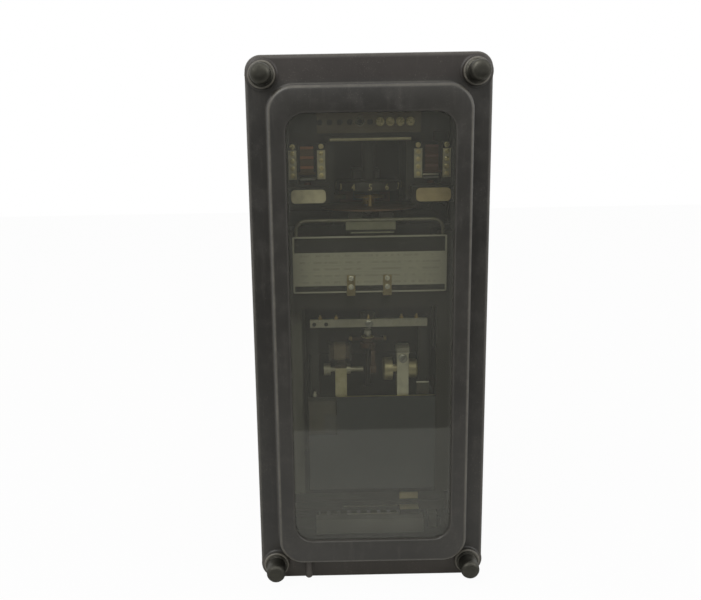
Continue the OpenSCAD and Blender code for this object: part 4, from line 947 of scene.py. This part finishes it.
def room_light():
    """White to the camera, in reflections and through glass, and a plain level of light on the relay."""
    world = bpy.data.worlds.new("studio")
    bpy.context.scene.world = world
    world.use_nodes = True
    tree = world.node_tree
    start_shade = Shade(tree)
    ray = start_shade.node("ShaderNodeLightPath").socket.node
    kinds = ("Is Camera Ray", "Is Glossy Ray", "Is Transmission Ray")
    seen = [Shade(tree, ray.outputs[kind]) for kind in kinds]
    background = tree.nodes["Background"]
    background.inputs["Color"].default_value = rgb(1.0, 1.0, 1.0)
    shown = seen[0].maths("MAXIMUM", seen[0], seen[1].maths("MAXIMUM", seen[1], seen[2]))
    tree.links.new((shown * 0.55 + 0.45).socket, background.inputs["Strength"])


def lamp(name, energy, size, place):
    """A soft white lamp that looks at the relay's middle."""
    put_down()
    bpy.ops.object.light_add(type="AREA", location=place)
    light = bpy.context.object
    light.name = name
    light.data.shape = "RECTANGLE"
    light.data.size, light.data.size_y = size
    light.data.energy = energy
    light.rotation_euler = (-Vector(place)).to_track_quat("-Z", "Y").to_euler()


def photo_camera():
    """The photograph's place, turn and lens, from the fit of the cover's corners."""
    yaw, pitch, roll = (math.radians(a) for a in (0.324, 12.912, -0.995))
    ahead = Vector((math.sin(yaw) * math.cos(pitch), math.cos(yaw) * math.cos(pitch), -math.sin(pitch)))
    right = Vector((math.cos(yaw), -math.sin(yaw), 0.0))
    up = right.cross(ahead)
    across = right * math.cos(roll) + up * math.sin(roll)
    upward = up * math.cos(roll) - right * math.sin(roll)
    put_down()
    bpy.ops.object.camera_add()
    camera = bpy.context.object
    camera.name = "photo_camera"
    turn = Matrix((across, upward, -ahead)).transposed().to_4x4()
    camera.matrix_world = Matrix.Translation((-0.036217, -0.634276, 0.143846)) @ turn
    wide, high, focal = 701.0, 600.0, 871.98
    camera.data.sensor_width = 36.0
    camera.data.lens = focal / wide * 36.0
    camera.data.shift_x = (wide / 2 - 324.92) / wide
    camera.data.shift_y = (327.8 - high / 2) / wide
    camera.data.clip_start = 0.01
    bpy.context.scene.camera = camera


FLOOR_Z, FLOOR_FRONT, FLOOR_BACK = -0.1927, -0.385, 3.0
stage_plane("floor", 6.0, FLOOR_BACK - FLOOR_FRONT, (0.0, (FLOOR_FRONT + FLOOR_BACK) / 2, FLOOR_Z), pale_floor)
card = stage_plane("dark_card", 3.0, 2.2, (0.0, 0.0, 0.0), dark_card)
move(card, Matrix.Translation((0.0, -0.95, -0.75)) @ FRONT)
card.visible_camera = False
card.visible_diffuse = False
card.visible_shadow = False
room_light()
lamp("key", 14.0, (1.2, 1.0), (-0.9, -1.1, 1.5))
lamp("fill", 5.0, (1.0, 1.0), (1.3, -0.9, 0.9))
photo_camera()
bpy.context.scene.view_settings.view_transform = "Standard"
